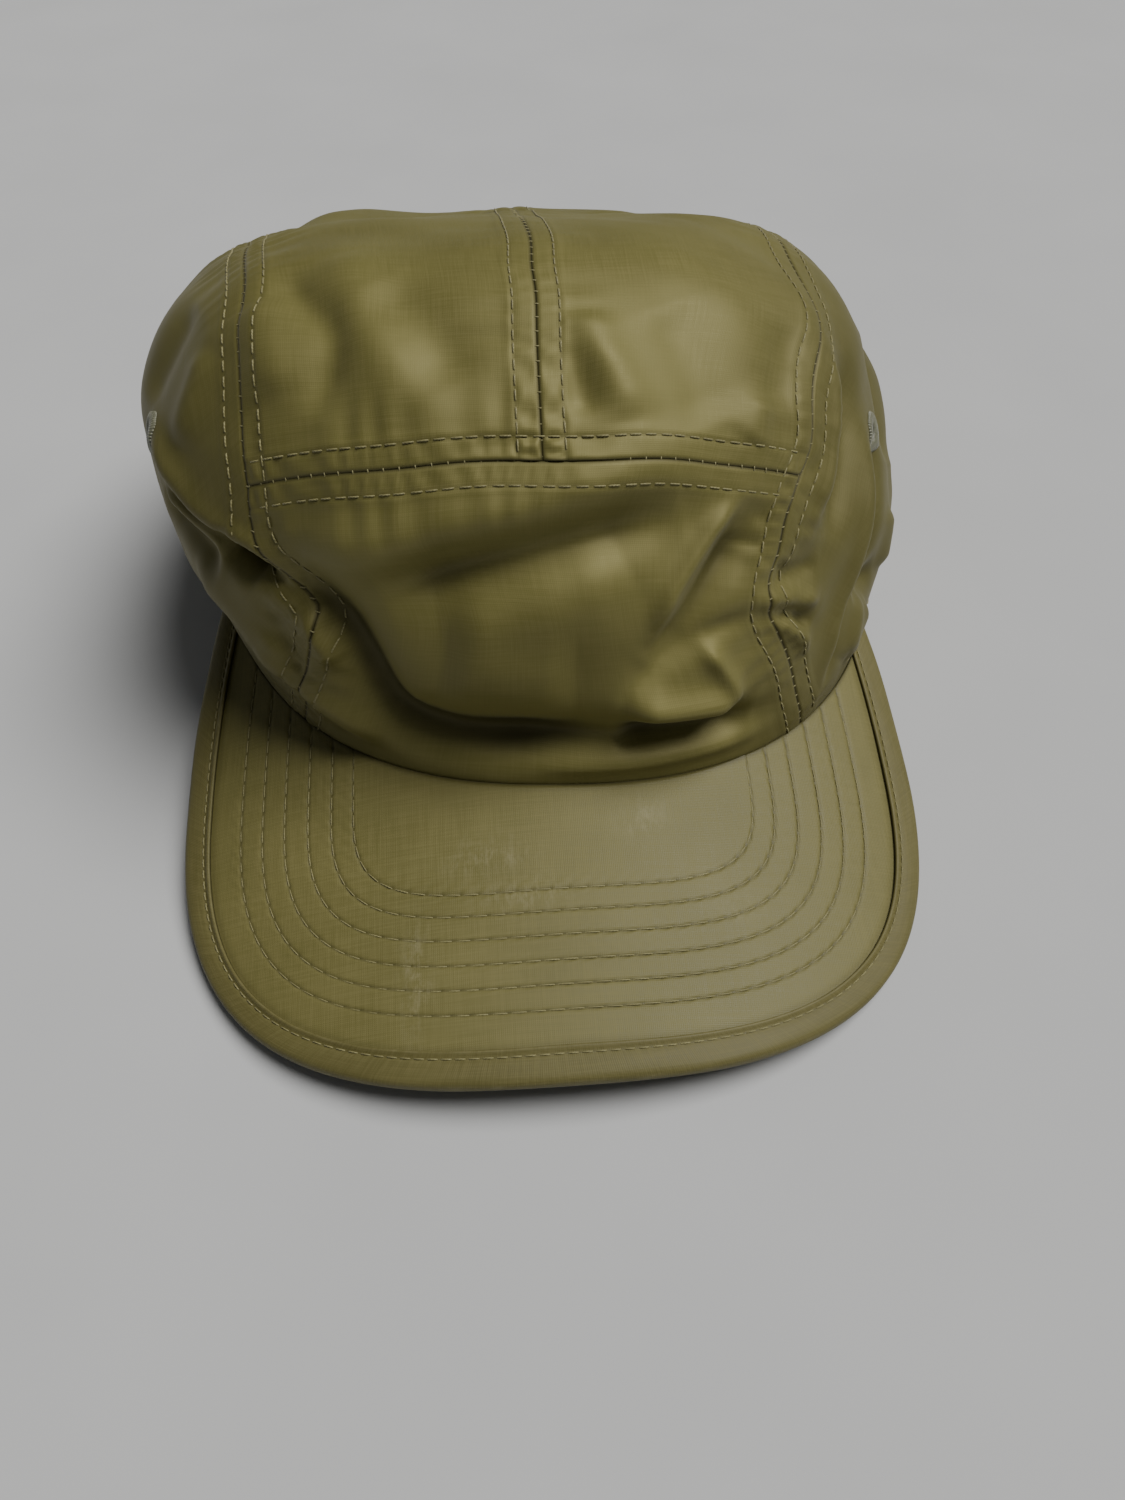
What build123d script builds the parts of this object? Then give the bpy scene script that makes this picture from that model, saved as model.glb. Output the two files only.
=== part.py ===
"""Five-panel camp cap at rest on a flat surface. Units: mm. +Z up, +X to the wearer's left, visor towards -Y."""
import os
from math import cos, hypot, pi, radians, sin

from build123d import *

os.makedirs("parts", exist_ok=True)

# ---------------------------------------------------------------- driving dimensions
RIM_TILT = 7.0            # the head opening leans back, front edge up
RIM_Y = 29.85             # where the middle of the head opening stands
RIM_LIFT = 11.09
CLOTH = 0.8               # panel, seam folds included
TAPE = 0.5                # seam tape
BACKING = 0.8             # strip behind the sweatband
BAND = 0.9                # sweatband
BAND_HEIGHT = 31.0
GAP = 0.1                 # air between the layers
SEAM_TAPE_WIDTH = 12.0
SQUARENESS = 0.91         # 1 makes the horizontal outlines ellipses

# outlines of the crown, the first below the rim: (y, z) up the front, (y, z) up the back, half width
FRONT = [(-103.6, -12), (-102.5, 0), (-99.8, 31), (-95.6, 50.7), (-88.3, 68.8), (-78.9, 82.3), (-67.8, 91.9),
         (-54.9, 97.7), (-40.2, 99.9), (-23, 98.3), (-1, 92.4), (15, 87.9)]
BACK = [(99.8, -12), (102.5, 0), (104, 11), (104.3, 22), (103, 33), (99.5, 44), (93.5, 53),
        (85, 61), (74, 68), (59, 74.5), (38, 81), (24, 85.4)]
HALF = [83.5, 88.5, 94, 95.5, 93.7, 89, 81.5, 71.3, 58.6, 42.7, 21, 5]

# half width of the middle strip (front panel and top panels) along the cap
STRIP = [(-118, 60.5), (-88, 60.5), (-70, 58), (-40, 63.5), (0, 71), (30, 74), (60, 73), (85, 68), (120, 60)]
CROSS_Y, CROSS_Z = -85.0, 74.5     # the cross seam on the centre line
CROSS_SLOPE = 42.0                 # the seam's plane runs down to the back

ARCH_R = 47.5             # opening at the back
ARCH_UP = 6.0             # straight part of its sides
ARCH_BIND = 7.0
BIND_CLOTH = 0.6

VISOR_Y = RIM_Y - 101.6    # root of the visor on the centre line
VISOR_Z = 24.59            # top of the visor there
VISOR_DROOP = 11.3
VISOR_CURVE = 220.0       # radius across the visor
VISOR_HALF = 92.0
VISOR_DEPTH = 67.0
VISOR_WIDEST = -16.0      # behind the root
VISOR_POWER = 2.56
BOARD = 1.5
COVER = 0.4
BAND_FOLD = 8.0           # width of the edge band on each face
BAND_CLOTH = 0.4
PLY = 0.05                # air between the layers of the visor
COVER_SHORT, BOARD_SHORT = 0.5, 1.0     # how far the covers and the board stop inside the edge band
VISOR_CLEAR = 0.3         # from the crown's lower edge
VISOR_CLEAR_UP = 0.9      # and as much more over the rim
BOARD_CLEAR = 1.5
VISOR_BEHIND = 90.0       # the sheets start this far behind the root
VISOR_LONG = 190.0
VISOR_SWEEP = 32.0        # degrees to each side

STRAP_R = 96.1            # the strap follows an arc about (0, STRAP_C)
STRAP_C = 6.0
STRAP_T = 1.2
STRAP_W = 20.0
STRAP_Z = 14.0            # height of its middle over the rim
STRAP_FROM, STRAP_TO = -29.5, 37.0     # its ends, in degrees round the arc
TUCK_FROM, TUCK_RUN, TUCK_DEPTH = 0.5, 16.0, 5.6     # where it dips in behind the buckle's tab
BUCKLE_AT = 15.5          # degrees round the arc from the middle of the back

# buckle, as (along the strap, outwards) from its middle
BUCKLE_IN = 21.0          # clear height between the buckle's walls
WALL = 1.5
SIDE_WALL = [(-13.0, -2.8), (13.0, -2.8), (13.0, 1.8), (11.2, 3.9), (-10.5, 3.9), (-13.0, 1.6)]
PLATE_X, PLATE_OUT, PLATE_L, PLATE_T = -6.0, -2.2, 14.0, 1.2
BAR_X, BAR_R = 11.4, 1.1
PIN_X, PIN_OUT, PIN_R, PIN_PLAY = -8.0, 2.3, 0.8, 0.07
KNUCKLE_R = 1.5
LEVER_PLATE = [(PIN_X, 2.6), (PIN_X, 3.8), (12.6, 3.8), (14.6, 4.6), (14.9, 3.7), (12.9, 2.6)]
LEVER_PLAY = 0.4          # above and below the lever
TAB_HALF = 1.05           # half thickness of the doubled tab
TAB_LOOP = 1.0            # cloth round the bar
TAB_DEGREES = [22.3, 24.0, 25.5, 27.5, 29.5]

EYELET_R, EYELET_HOLE = 5.4, 2.3
EYELET_CUT = 1.1          # the hole in the cloth is this much larger in radius
THREAD_PROUD = 0.6        # embroidery above and below the cloth
EYELETS = [(-35.0, 53.0), (20.0, 47.0)]
EYELET_X = 80.0           # planes that the eyelets are pushed out from
EYELET_REACH = 30.0

BAND_UP, BACKING_UP = 0.6, 1.5     # lower edges over the rim
BACKING_SHORT = 2.0       # the backing stops this far under the band's top
BACKING_END = -20.0       # and this far back
LABEL = 0.3
LABEL_UP = 8.0
CARE_Y, CARE_WIDTH, CARE_TOP = 20.0, 24.0, 42.0
SIZE_Y, SIZE_WIDTH, SIZE_TOP = -6.0, 14.0, 20.0

# blocks that cut the cap reach past it on every side
FAR = 400.0
TALL = 220.0
BELOW = 40.0

# ---------------------------------------------------------------- placing planes
tilt = radians(RIM_TILT)
rim = Plane(origin=(0, RIM_Y, RIM_LIFT), x_dir=(1, 0, 0), z_dir=(0, sin(tilt), cos(tilt)))
back_plane = Plane(origin=rim.origin, x_dir=(1, 0, 0), z_dir=-rim.y_dir)


def at(x, y, z):
    """A point given in the plane of the rim."""
    return rim.from_local_coords(Vector(x, y, z))


def inwards(points, t, side):
    """The profile moved t towards the inside of the crown."""
    out = []
    for i, (y, z) in enumerate(points):
        y0, z0 = points[max(i - 1, 0)]
        y1, z1 = points[min(i + 1, len(points) - 1)]
        n = hypot(y1 - y0, z1 - z0)
        out.append((y + side * t * (z1 - z0) / n, z - side * t * (y1 - y0) / n if i else z))
    return out


def ring(i, t):
    """One horizontal outline of the crown, t inside the outer face."""
    fy, fz = inwards(FRONT, t, 1)[i]
    by, bz = inwards(BACK, t, -1)[i]
    mid = [(w, (f[1] + b[1]) / 2) for w, f, b in zip(HALF, FRONT, BACK)]
    half = inwards(mid, t, -1)[i][0]
    length = hypot(by - fy, bz - fz)
    ay, az = (by - fy) / length, (bz - fz) / length
    along = rim.y_dir * ay + rim.z_dir * az
    plane = Plane(origin=at(0, (fy + by) / 2, (fz + bz) / 2), x_dir=(1, 0, 0), z_dir=Vector(1, 0, 0).cross(along))
    pts = []
    for k in range(32):
        a = 2 * pi * k / 32
        sx, sy = (1 if cos(a) >= 0 else -1), (1 if sin(a) >= 0 else -1)
        pts.append((half * sx * abs(cos(a)) ** SQUARENESS, length / 2 * sy * abs(sin(a)) ** SQUARENESS))
    with BuildSketch(plane) as outline:
        with BuildLine():
            Spline(*pts, periodic=True)
        make_face()
    return outline.sketch


def crown(t, mode=Mode.ADD):
    """The whole crown as a solid, t inside the outer face."""
    loft(sections=[ring(i, t) for i in range(len(HALF))], mode=mode)


def strip(dw, mode=Mode.INTERSECT):
    """The middle strip of the cap, dw wider on each side than the seam."""
    with BuildSketch(rim.offset(-BELOW)) as s:
        with BuildLine():
            Spline(*[(w + dw, y) for y, w in STRIP])
            Spline(*[(-w - dw, y) for y, w in STRIP])
            for y, w in (STRIP[0], STRIP[-1]):
                Line((-w - dw, y), (w + dw, y))
        make_face()
    extrude(to_extrude=s.sketch, amount=TALL, dir=rim.z_dir, mode=mode)


def over_cross(shift, mode):
    """Everything above and behind the plane of the cross seam."""
    c, s = cos(radians(CROSS_SLOPE)), sin(radians(CROSS_SLOPE))
    up = rim.y_dir * s + rim.z_dir * c
    p = Plane(origin=at(0, CROSS_Y, CROSS_Z) + up * shift, x_dir=(1, 0, 0), z_dir=up)
    with BuildSketch(p) as sk:
        Rectangle(FAR, FAR)
    extrude(to_extrude=sk.sketch, amount=TALL, dir=up, mode=mode)


def arch(grow, mode):
    """The opening at the back, pushed through the rear wall."""
    with BuildSketch(back_plane) as sk:
        with Locations((0, ARCH_UP)):
            Circle(ARCH_R + grow)
        with Locations((0, ARCH_UP - BELOW)):
            Rectangle(2 * (ARCH_R + grow), 2 * BELOW)
    extrude(to_extrude=sk.sketch, amount=TALL, dir=rim.y_dir, mode=mode)


def half_space(x0, x1, mode=Mode.INTERSECT):
    """Everything between two upright planes across the cap."""
    with BuildSketch(Plane.XY.offset(-BELOW)) as sk:
        with Locations(((x0 + x1) / 2, 0)):
            Rectangle(x1 - x0, 2 * FAR)
    extrude(to_extrude=sk.sketch, amount=TALL, dir=(0, 0, 1), mode=mode)


def over_rim(z0, z1, mode=Mode.INTERSECT):
    """A layer parallel to the plane of the rim."""
    with BuildSketch(rim.offset(z0)) as sk:
        Rectangle(FAR, FAR)
    extrude(to_extrude=sk.sketch, amount=z1 - z0, dir=rim.z_dir, mode=mode)


# ---------------------------------------------------------------- crown panels
def layer(t0, t1, z0=0.0, z1=TALL):
    """One layer of the crown's wall between two depths, over the rim from z0 to z1."""
    crown(t0)
    crown(t1, Mode.SUBTRACT)
    over_rim(z0, z1)


half_tape = SEAM_TAPE_WIDTH / 2
t_tape = CLOTH + GAP
t_back = t_tape + TAPE + GAP
t_band = t_back + BACKING + GAP
t_label = t_band + BAND + PLY

with BuildPart() as cloth:
    layer(0, CLOTH)

with BuildPart() as tape_cloth:
    layer(t_tape, t_tape + TAPE)

with BuildPart() as front_panel:
    add(cloth.part)
    strip(0)
    over_cross(0, Mode.SUBTRACT)

with BuildPart() as top_panels:
    add(cloth.part)
    strip(0)
    over_cross(0, Mode.INTERSECT)
    arch(0, Mode.SUBTRACT)

with BuildPart() as top_left_panel:
    add(top_panels.part)
    half_space(0, FAR)

with BuildPart() as top_right_panel:
    add(top_panels.part)
    half_space(-FAR, 0)


def eyelet_places(side):
    return [Plane(origin=at(side * EYELET_X, y, z), x_dir=rim.y_dir, z_dir=(side, 0, 0)) for y, z in EYELETS]


def side_panel(side):
    """A side panel with a hole for each eyelet."""
    add(cloth.part)
    strip(0, Mode.SUBTRACT)
    half_space(min(0, side * FAR), max(0, side * FAR))
    for p in eyelet_places(side):
        with BuildSketch(p) as s:
            Circle(EYELET_HOLE + EYELET_CUT)
        extrude(to_extrude=s.sketch, amount=EYELET_REACH, dir=(side, 0, 0), mode=Mode.SUBTRACT)


with BuildPart() as left_side_panel:
    side_panel(1)

with BuildPart() as right_side_panel:
    side_panel(-1)

# ---------------------------------------------------------------- embroidered eyelets
with BuildPart() as eyelet_cloth:
    layer(-THREAD_PROUD, CLOTH + THREAD_PROUD)

with BuildPart() as eyelets:
    for side in (1, -1):
        for p in eyelet_places(side):
            with BuildSketch(p) as s:
                Circle(EYELET_R)
                Circle(EYELET_HOLE, mode=Mode.SUBTRACT)
            extrude(to_extrude=s.sketch, amount=EYELET_REACH, dir=(side, 0, 0))
    add(eyelet_cloth.part, mode=Mode.INTERSECT)
    add(left_side_panel.part, mode=Mode.SUBTRACT)
    add(right_side_panel.part, mode=Mode.SUBTRACT)


# ---------------------------------------------------------------- seam tapes inside
def side_tape(x0, x1):
    """The tape behind one side seam."""
    add(tape_cloth.part)
    half_space(x0, x1)
    strip(half_tape)
    strip(-half_tape, Mode.SUBTRACT)


with BuildPart() as left_seam_tape:
    side_tape(0, FAR)

with BuildPart() as right_seam_tape:
    side_tape(-FAR, 0)

with BuildPart() as cross_seam_tape:
    add(tape_cloth.part)
    strip(-half_tape - GAP)
    over_cross(-half_tape, Mode.INTERSECT)
    over_cross(half_tape, Mode.SUBTRACT)

with BuildPart() as centre_seam_tape:
    add(tape_cloth.part)
    half_space(-half_tape, half_tape)
    over_cross(half_tape + GAP, Mode.INTERSECT)
    arch(ARCH_BIND + GAP, Mode.SUBTRACT)

# ---------------------------------------------------------------- binding of the rear opening
with BuildPart() as arch_binding:
    layer(-BIND_CLOTH, CLOTH + GAP + BIND_CLOTH)
    arch(ARCH_BIND, Mode.INTERSECT)
    arch(-BIND_CLOTH, Mode.SUBTRACT)
    add(top_panels.part, mode=Mode.SUBTRACT)


# ---------------------------------------------------------------- sweatband and what lies behind it
def round_the_head(x, y, wide, long, mode):
    """A block standing on the rim, to cut a band or a label to length."""
    with BuildSketch(rim.offset(-BELOW)) as s:
        with Locations((x, y)):
            Rectangle(wide, long)
    extrude(to_extrude=s.sketch, amount=TALL, dir=rim.z_dir, mode=mode)


with BuildPart() as sweatband_backing:
    layer(t_back, t_back + BACKING, BACKING_UP, BAND_HEIGHT - BACKING_SHORT)
    round_the_head(0, BACKING_END + FAR / 2, FAR, FAR, Mode.SUBTRACT)

with BuildPart() as sweatband:
    layer(t_band, t_band + BAND, BAND_UP, BAND_HEIGHT)
    round_the_head(0, FAR / 2, 2 * (ARCH_R + 1), FAR, Mode.SUBTRACT)

with BuildPart() as care_label:
    layer(t_label, t_label + LABEL, LABEL_UP, CARE_TOP)
    round_the_head(FAR / 2, CARE_Y, FAR, CARE_WIDTH, Mode.INTERSECT)

with BuildPart() as size_label:
    layer(t_label, t_label + LABEL, LABEL_UP, SIZE_TOP)
    round_the_head(FAR / 2, SIZE_Y, FAR, SIZE_WIDTH, Mode.INTERSECT)

# ---------------------------------------------------------------- visor
droop = radians(VISOR_DROOP)


def visor_half_outline(inset):
    """Points (u, v) of the visor's edge: u sideways, v forwards from the root."""
    w, d, p = VISOR_HALF - inset, VISOR_DEPTH - inset, VISOR_POWER
    pts = []
    for k in range(13):
        a = pi / 2 * k / 12
        pts.append((w * sin(a) ** (2 / p), VISOR_WIDEST + (d - VISOR_WIDEST) * cos(a) ** (2 / p)))
    pts += [(w - 0.0019 * s * s, VISOR_WIDEST - s) for s in (15, 30, 50)]
    return pts


def visor_slab(top, bottom, inset, mode=Mode.ADD):
    """A curved, drooping sheet between two depths under the visor's top face, cut to the outline."""
    r = VISOR_CURVE
    start = Plane(origin=(0, VISOR_Y + VISOR_BEHIND * cos(droop), 0), x_dir=(1, 0, 0), z_dir=(0, -1, 0))
    with BuildSketch(start) as sk:
        z_top = VISOR_Z + VISOR_BEHIND * sin(droop)
        with BuildLine():
            lo, hi = [], []
            for rr, keep in ((r - top, hi), (r - bottom, lo)):
                for a in (-VISOR_SWEEP, 0, VISOR_SWEEP):
                    keep.append((rr * sin(radians(a)), z_top - r + rr * cos(radians(a))))
            ThreePointArc(*hi)
            ThreePointArc(*lo)
            Line(hi[0], lo[0])
            Line(hi[2], lo[2])
        make_face()
    with BuildPart(mode=Mode.PRIVATE) as sheet:
        extrude(to_extrude=sk.sketch, amount=VISOR_LONG, dir=(0, -cos(droop), -sin(droop)))
        half = visor_half_outline(inset)
        pts = [(r * sin(u / r), VISOR_Y - v * cos(droop)) for u, v in half]
        with BuildSketch(Plane.XY.offset(-BELOW)) as out:
            with BuildLine():
                line = Spline(*([(-x, y) for x, y in reversed(pts[1:])] + pts))
                Line(line @ 0, line @ 1)
            make_face()
        extrude(to_extrude=out.sketch, amount=TALL, dir=(0, 0, 1), mode=Mode.INTERSECT)
    add(sheet.part, mode=mode)


def clear_of_crown(grow=VISOR_CLEAR):
    """The visor stops where the crown's wall and lower edge stand, a little further out above the rim."""
    for z0, z1, out in ((-2 * BELOW, 0, grow), (0, BELOW, grow + VISOR_CLEAR_UP)):
        b, w = BACK[1][0] + out, HALF[1] + out
        pts = []
        for k in range(32):
            a = 2 * pi * k / 32
            sx, sy = (1 if cos(a) >= 0 else -1), (1 if sin(a) >= 0 else -1)
            pts.append((w * sx * abs(cos(a)) ** SQUARENESS, b * sy * abs(sin(a)) ** SQUARENESS))
        with BuildSketch(rim.offset(z0)) as sk:
            with BuildLine():
                Spline(*pts, periodic=True)
            make_face()
        extrude(to_extrude=sk.sketch, amount=z1 - z0, dir=rim.z_dir, mode=Mode.SUBTRACT)


d_board = COVER + PLY
d_under = d_board + BOARD + PLY
d_all = d_under + COVER

with BuildPart() as visor_top_cover:
    visor_slab(0, COVER, BAND_CLOTH + COVER_SHORT)
    clear_of_crown()

with BuildPart() as visor_board:
    visor_slab(d_board, d_board + BOARD, BAND_CLOTH + BOARD_SHORT)
    clear_of_crown(BOARD_CLEAR)

with BuildPart() as visor_under_cover:
    visor_slab(d_under, d_all, BAND_CLOTH + COVER_SHORT)
    clear_of_crown()

with BuildPart() as visor_edge_band:
    visor_slab(-BAND_CLOTH - PLY, d_all + PLY + BAND_CLOTH, 0)
    visor_slab(-PLY, d_all + PLY, BAND_CLOTH, Mode.SUBTRACT)
    visor_slab(-BAND_FOLD, d_all + BAND_FOLD, BAND_FOLD, Mode.SUBTRACT)
    clear_of_crown()

# ---------------------------------------------------------------- strap, buckle and tab at the back


def on_arc(deg, dr=0.0):
    """A point of the strap's arc, dr further out, in the plane of the rim."""
    a = radians(deg)
    return ((STRAP_R + dr) * sin(a), STRAP_C + (STRAP_R + dr) * cos(a))


buckle_origin = at(*on_arc(BUCKLE_AT), STRAP_Z)
b_rad = radians(BUCKLE_AT)
out_dir = rim.x_dir * sin(b_rad) + rim.y_dir * cos(b_rad)
run_dir = rim.x_dir * cos(b_rad) - rim.y_dir * sin(b_rad)
# sketches on this plane use (along the strap, outwards); it stands at mid height of the strap
across = Plane(origin=buckle_origin, x_dir=run_dir, z_dir=rim.z_dir)


def strap_path(edge):
    """The strap's face: on the arc up to the buckle, then tucked in behind the tab."""
    pts = []
    steps = 33
    for n in range(steps + 1):
        deg = STRAP_FROM + (STRAP_TO - STRAP_FROM) * n / steps
        x = STRAP_R * radians(deg - BUCKLE_AT)
        k = min(max((x - TUCK_FROM) / TUCK_RUN, 0.0), 1.0)
        dip = -TUCK_DEPTH * (3 * k * k - 2 * k ** 3)
        pts.append(on_arc(deg, dip + edge))
    return pts


with BuildPart() as beyond_arch:
    half_space(-FAR, 0, Mode.ADD)
    arch(-BIND_CLOTH, Mode.SUBTRACT)

with BuildPart() as strap:
    with BuildSketch(rim.offset(STRAP_Z - STRAP_W / 2)) as s:
        with BuildLine():
            a = Spline(*strap_path(STRAP_T / 2))
            b = Spline(*strap_path(-STRAP_T / 2))
            Line(a @ 0, b @ 0)
            Line(a @ 1, b @ 1)
        make_face()
    extrude(to_extrude=s.sketch, amount=STRAP_W, dir=rim.z_dir)
    add(beyond_arch.part, mode=Mode.SUBTRACT)

with BuildPart() as buckle_frame:
    for z0 in (-BUCKLE_IN / 2 - WALL, BUCKLE_IN / 2):
        with BuildSketch(across.offset(z0)) as s:
            with BuildLine():
                Polyline(*SIDE_WALL, close=True)
            make_face()
        extrude(to_extrude=s.sketch, amount=WALL, dir=rim.z_dir)
    with BuildSketch(across.offset(-BUCKLE_IN / 2)) as s:
        with Locations((PLATE_X, PLATE_OUT)):
            Rectangle(PLATE_L, PLATE_T)
        with Locations((BAR_X, 0)):
            Circle(BAR_R)
    extrude(to_extrude=s.sketch, amount=BUCKLE_IN, dir=rim.z_dir)
    with BuildSketch(across.offset(-BUCKLE_IN)) as s:
        with Locations((PIN_X, PIN_OUT)):
            Circle(PIN_R)
    extrude(to_extrude=s.sketch, amount=2 * BUCKLE_IN, dir=rim.z_dir, mode=Mode.SUBTRACT)

with BuildPart() as buckle_pin:
    with BuildSketch(across.offset(-BUCKLE_IN / 2 - WALL)) as s:
        with Locations((PIN_X, PIN_OUT)):
            Circle(PIN_R)
    extrude(to_extrude=s.sketch, amount=BUCKLE_IN + 2 * WALL, dir=rim.z_dir)

with BuildPart() as buckle_lever:
    with BuildSketch(across.offset(-BUCKLE_IN / 2 + LEVER_PLAY)) as s:
        with Locations((PIN_X, PIN_OUT)):
            Circle(KNUCKLE_R)
        with BuildLine():
            Polyline(*LEVER_PLATE, close=True)
        make_face()
        with Locations((PIN_X, PIN_OUT)):
            Circle(PIN_R + PIN_PLAY, mode=Mode.SUBTRACT)
    extrude(to_extrude=s.sketch, amount=BUCKLE_IN - 2 * LEVER_PLAY, dir=rim.z_dir)

with BuildPart() as buckle_tab:
    with BuildSketch(rim.offset(STRAP_Z - STRAP_W / 2)) as s:
        with BuildLine():
            a = Spline(*[on_arc(d, TAB_HALF) for d in TAB_DEGREES])
            b = Spline(*[on_arc(d, -TAB_HALF) for d in TAB_DEGREES])
            Line(a @ 0, b @ 0)
            Line(a @ 1, b @ 1)
        make_face()
    extrude(to_extrude=s.sketch, amount=STRAP_W, dir=rim.z_dir)
    with BuildSketch(across.offset(-STRAP_W / 2)) as s:
        with Locations((BAR_X, 0)):
            Circle(BAR_R + TAB_LOOP)
    extrude(to_extrude=s.sketch, amount=STRAP_W, dir=rim.z_dir)
    with BuildSketch(across.offset(-STRAP_W / 2)) as s:
        with Locations((BAR_X, 0)):
            Circle(BAR_R)
    extrude(to_extrude=s.sketch, amount=STRAP_W, dir=rim.z_dir, mode=Mode.SUBTRACT)
    arch(-BIND_CLOTH, Mode.INTERSECT)

# ---------------------------------------------------------------- export
nodes = {
    "front_panel": front_panel, "top_left_panel": top_left_panel, "top_right_panel": top_right_panel,
    "left_side_panel": left_side_panel, "right_side_panel": right_side_panel, "eyelets": eyelets,
    "left_seam_tape": left_seam_tape, "right_seam_tape": right_seam_tape, "cross_seam_tape": cross_seam_tape,
    "centre_seam_tape": centre_seam_tape, "arch_binding": arch_binding, "sweatband_backing": sweatband_backing,
    "sweatband": sweatband, "care_label": care_label, "size_label": size_label,
    "visor_top_cover": visor_top_cover, "visor_board": visor_board, "visor_under_cover": visor_under_cover,
    "visor_edge_band": visor_edge_band, "strap": strap, "buckle_frame": buckle_frame, "buckle_pin": buckle_pin,
    "buckle_lever": buckle_lever, "buckle_tab": buckle_tab,
}
for name, piece in nodes.items():
    piece.part.label = name
    export_step(piece.part, f"parts/{name}.step")
    bb = piece.part.bounding_box()
    print(f"{name:20s} solids {len(piece.part.solids())}  volume {piece.part.volume:9.1f}  "
          f"x {bb.min.X:7.1f} {bb.max.X:7.1f}  y {bb.min.Y:7.1f} {bb.max.Y:7.1f}  z {bb.min.Z:6.2f} {bb.max.Z:6.2f}")
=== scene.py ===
"""Looks of the soft five-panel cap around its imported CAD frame.

Shapes are worked out in mm in the cap frame (the plane of the head opening) and go to metres in the
row frame at the end. Visor shapes use (u, v): sideways and forwards over its curved face.
"""
from math import cos, pi, radians, sin

import bpy
import numpy as np
from mathutils import Matrix
from mathutils.bvhtree import BVHTree


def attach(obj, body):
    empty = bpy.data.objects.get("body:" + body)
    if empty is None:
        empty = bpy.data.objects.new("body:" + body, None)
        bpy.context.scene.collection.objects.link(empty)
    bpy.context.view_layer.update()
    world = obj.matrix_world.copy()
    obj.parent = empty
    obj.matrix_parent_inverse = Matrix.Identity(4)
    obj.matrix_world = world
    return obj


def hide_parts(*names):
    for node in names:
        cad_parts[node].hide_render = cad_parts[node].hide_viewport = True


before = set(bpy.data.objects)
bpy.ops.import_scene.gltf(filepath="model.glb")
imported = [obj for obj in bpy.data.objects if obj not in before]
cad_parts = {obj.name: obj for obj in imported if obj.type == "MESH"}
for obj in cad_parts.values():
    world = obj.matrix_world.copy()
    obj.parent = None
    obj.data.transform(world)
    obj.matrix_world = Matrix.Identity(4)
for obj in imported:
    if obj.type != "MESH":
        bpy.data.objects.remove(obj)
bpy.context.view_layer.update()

# ---------------------------------------------------------------- sizes shared with the CAD (mm)
TILT = radians(7.0)
RIM_Y, RIM_LIFT = 29.85, 11.09
FRONT = [(-103.6, -12), (-102.5, 0), (-99.8, 31), (-95.6, 50.7), (-88.3, 68.8), (-78.9, 82.3), (-67.8, 91.9),
         (-54.9, 97.7), (-40.2, 99.9), (-23, 98.3), (-1, 92.4), (15, 87.9), (19.5, 86.9)]
BACK = [(99.8, -12), (102.5, 0), (104, 11), (104.3, 22), (103, 33), (99.5, 44), (93.5, 53),
        (85, 61), (74, 68), (59, 74.5), (38, 81), (24, 85.4), (19.6, 86.8)]
HALF = [83.5, 88.5, 94, 95.5, 93.7, 89, 81.5, 71.3, 58.6, 42.7, 21, 5, 0.1]
SQUARENESS = 0.91
CLOTH = 0.8
TAPE_DEPTH, TAPE, TAPE_HALF = 1.15, 0.45, 6.0
BACKING_DEPTH, BACKING = 2.0, 0.7
BAND_DEPTH, BAND, BAND_HEIGHT = 2.8, 0.9, 31.0
ARCH_R, ARCH_UP = 47.5, 6.0
ARCH_ROW, ARCH_FOLDS = 5.4, 0.6      # its binding's needle row, and its share of the cloth's folds
VISOR_Y, VISOR_Z = RIM_Y - 101.6, 24.59
VISOR_DROOP, VISOR_CURVE = radians(11.3), 220.0
STRAP_R, STRAP_C, STRAP_Z, STRAP_W, STRAP_T = 96.1, 6.0, 14.0, 20.0, 1.2
STRAP_FROM, STRAP_TO, BUCKLE_AT = -29.5, 37.0, 15.5
VISOR_ENDS = (0.80, 1.05)      # radians from the front where the visor stops
SEWN_UNDER = 1.3               # how far the crown's edge is tucked under the visor's top
TUCK_FROM, TUCK_RUN, TUCK_DEPTH = 0.5, 16.0, 5.6
BAR_X, BAR_R = 11.4, 1.1

# ---------------------------------------------------------------- how the worn cap sits (mm, cap frame)
LEAN_RIM, LEAN_FALL, LEAN_TOP = 7.0, 0.19, 60.0      # the crown slumps to -X with height
LEAN_TURN = radians(-3.2)
HEART = np.array([0.0, -2.0, 24.0])

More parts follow.
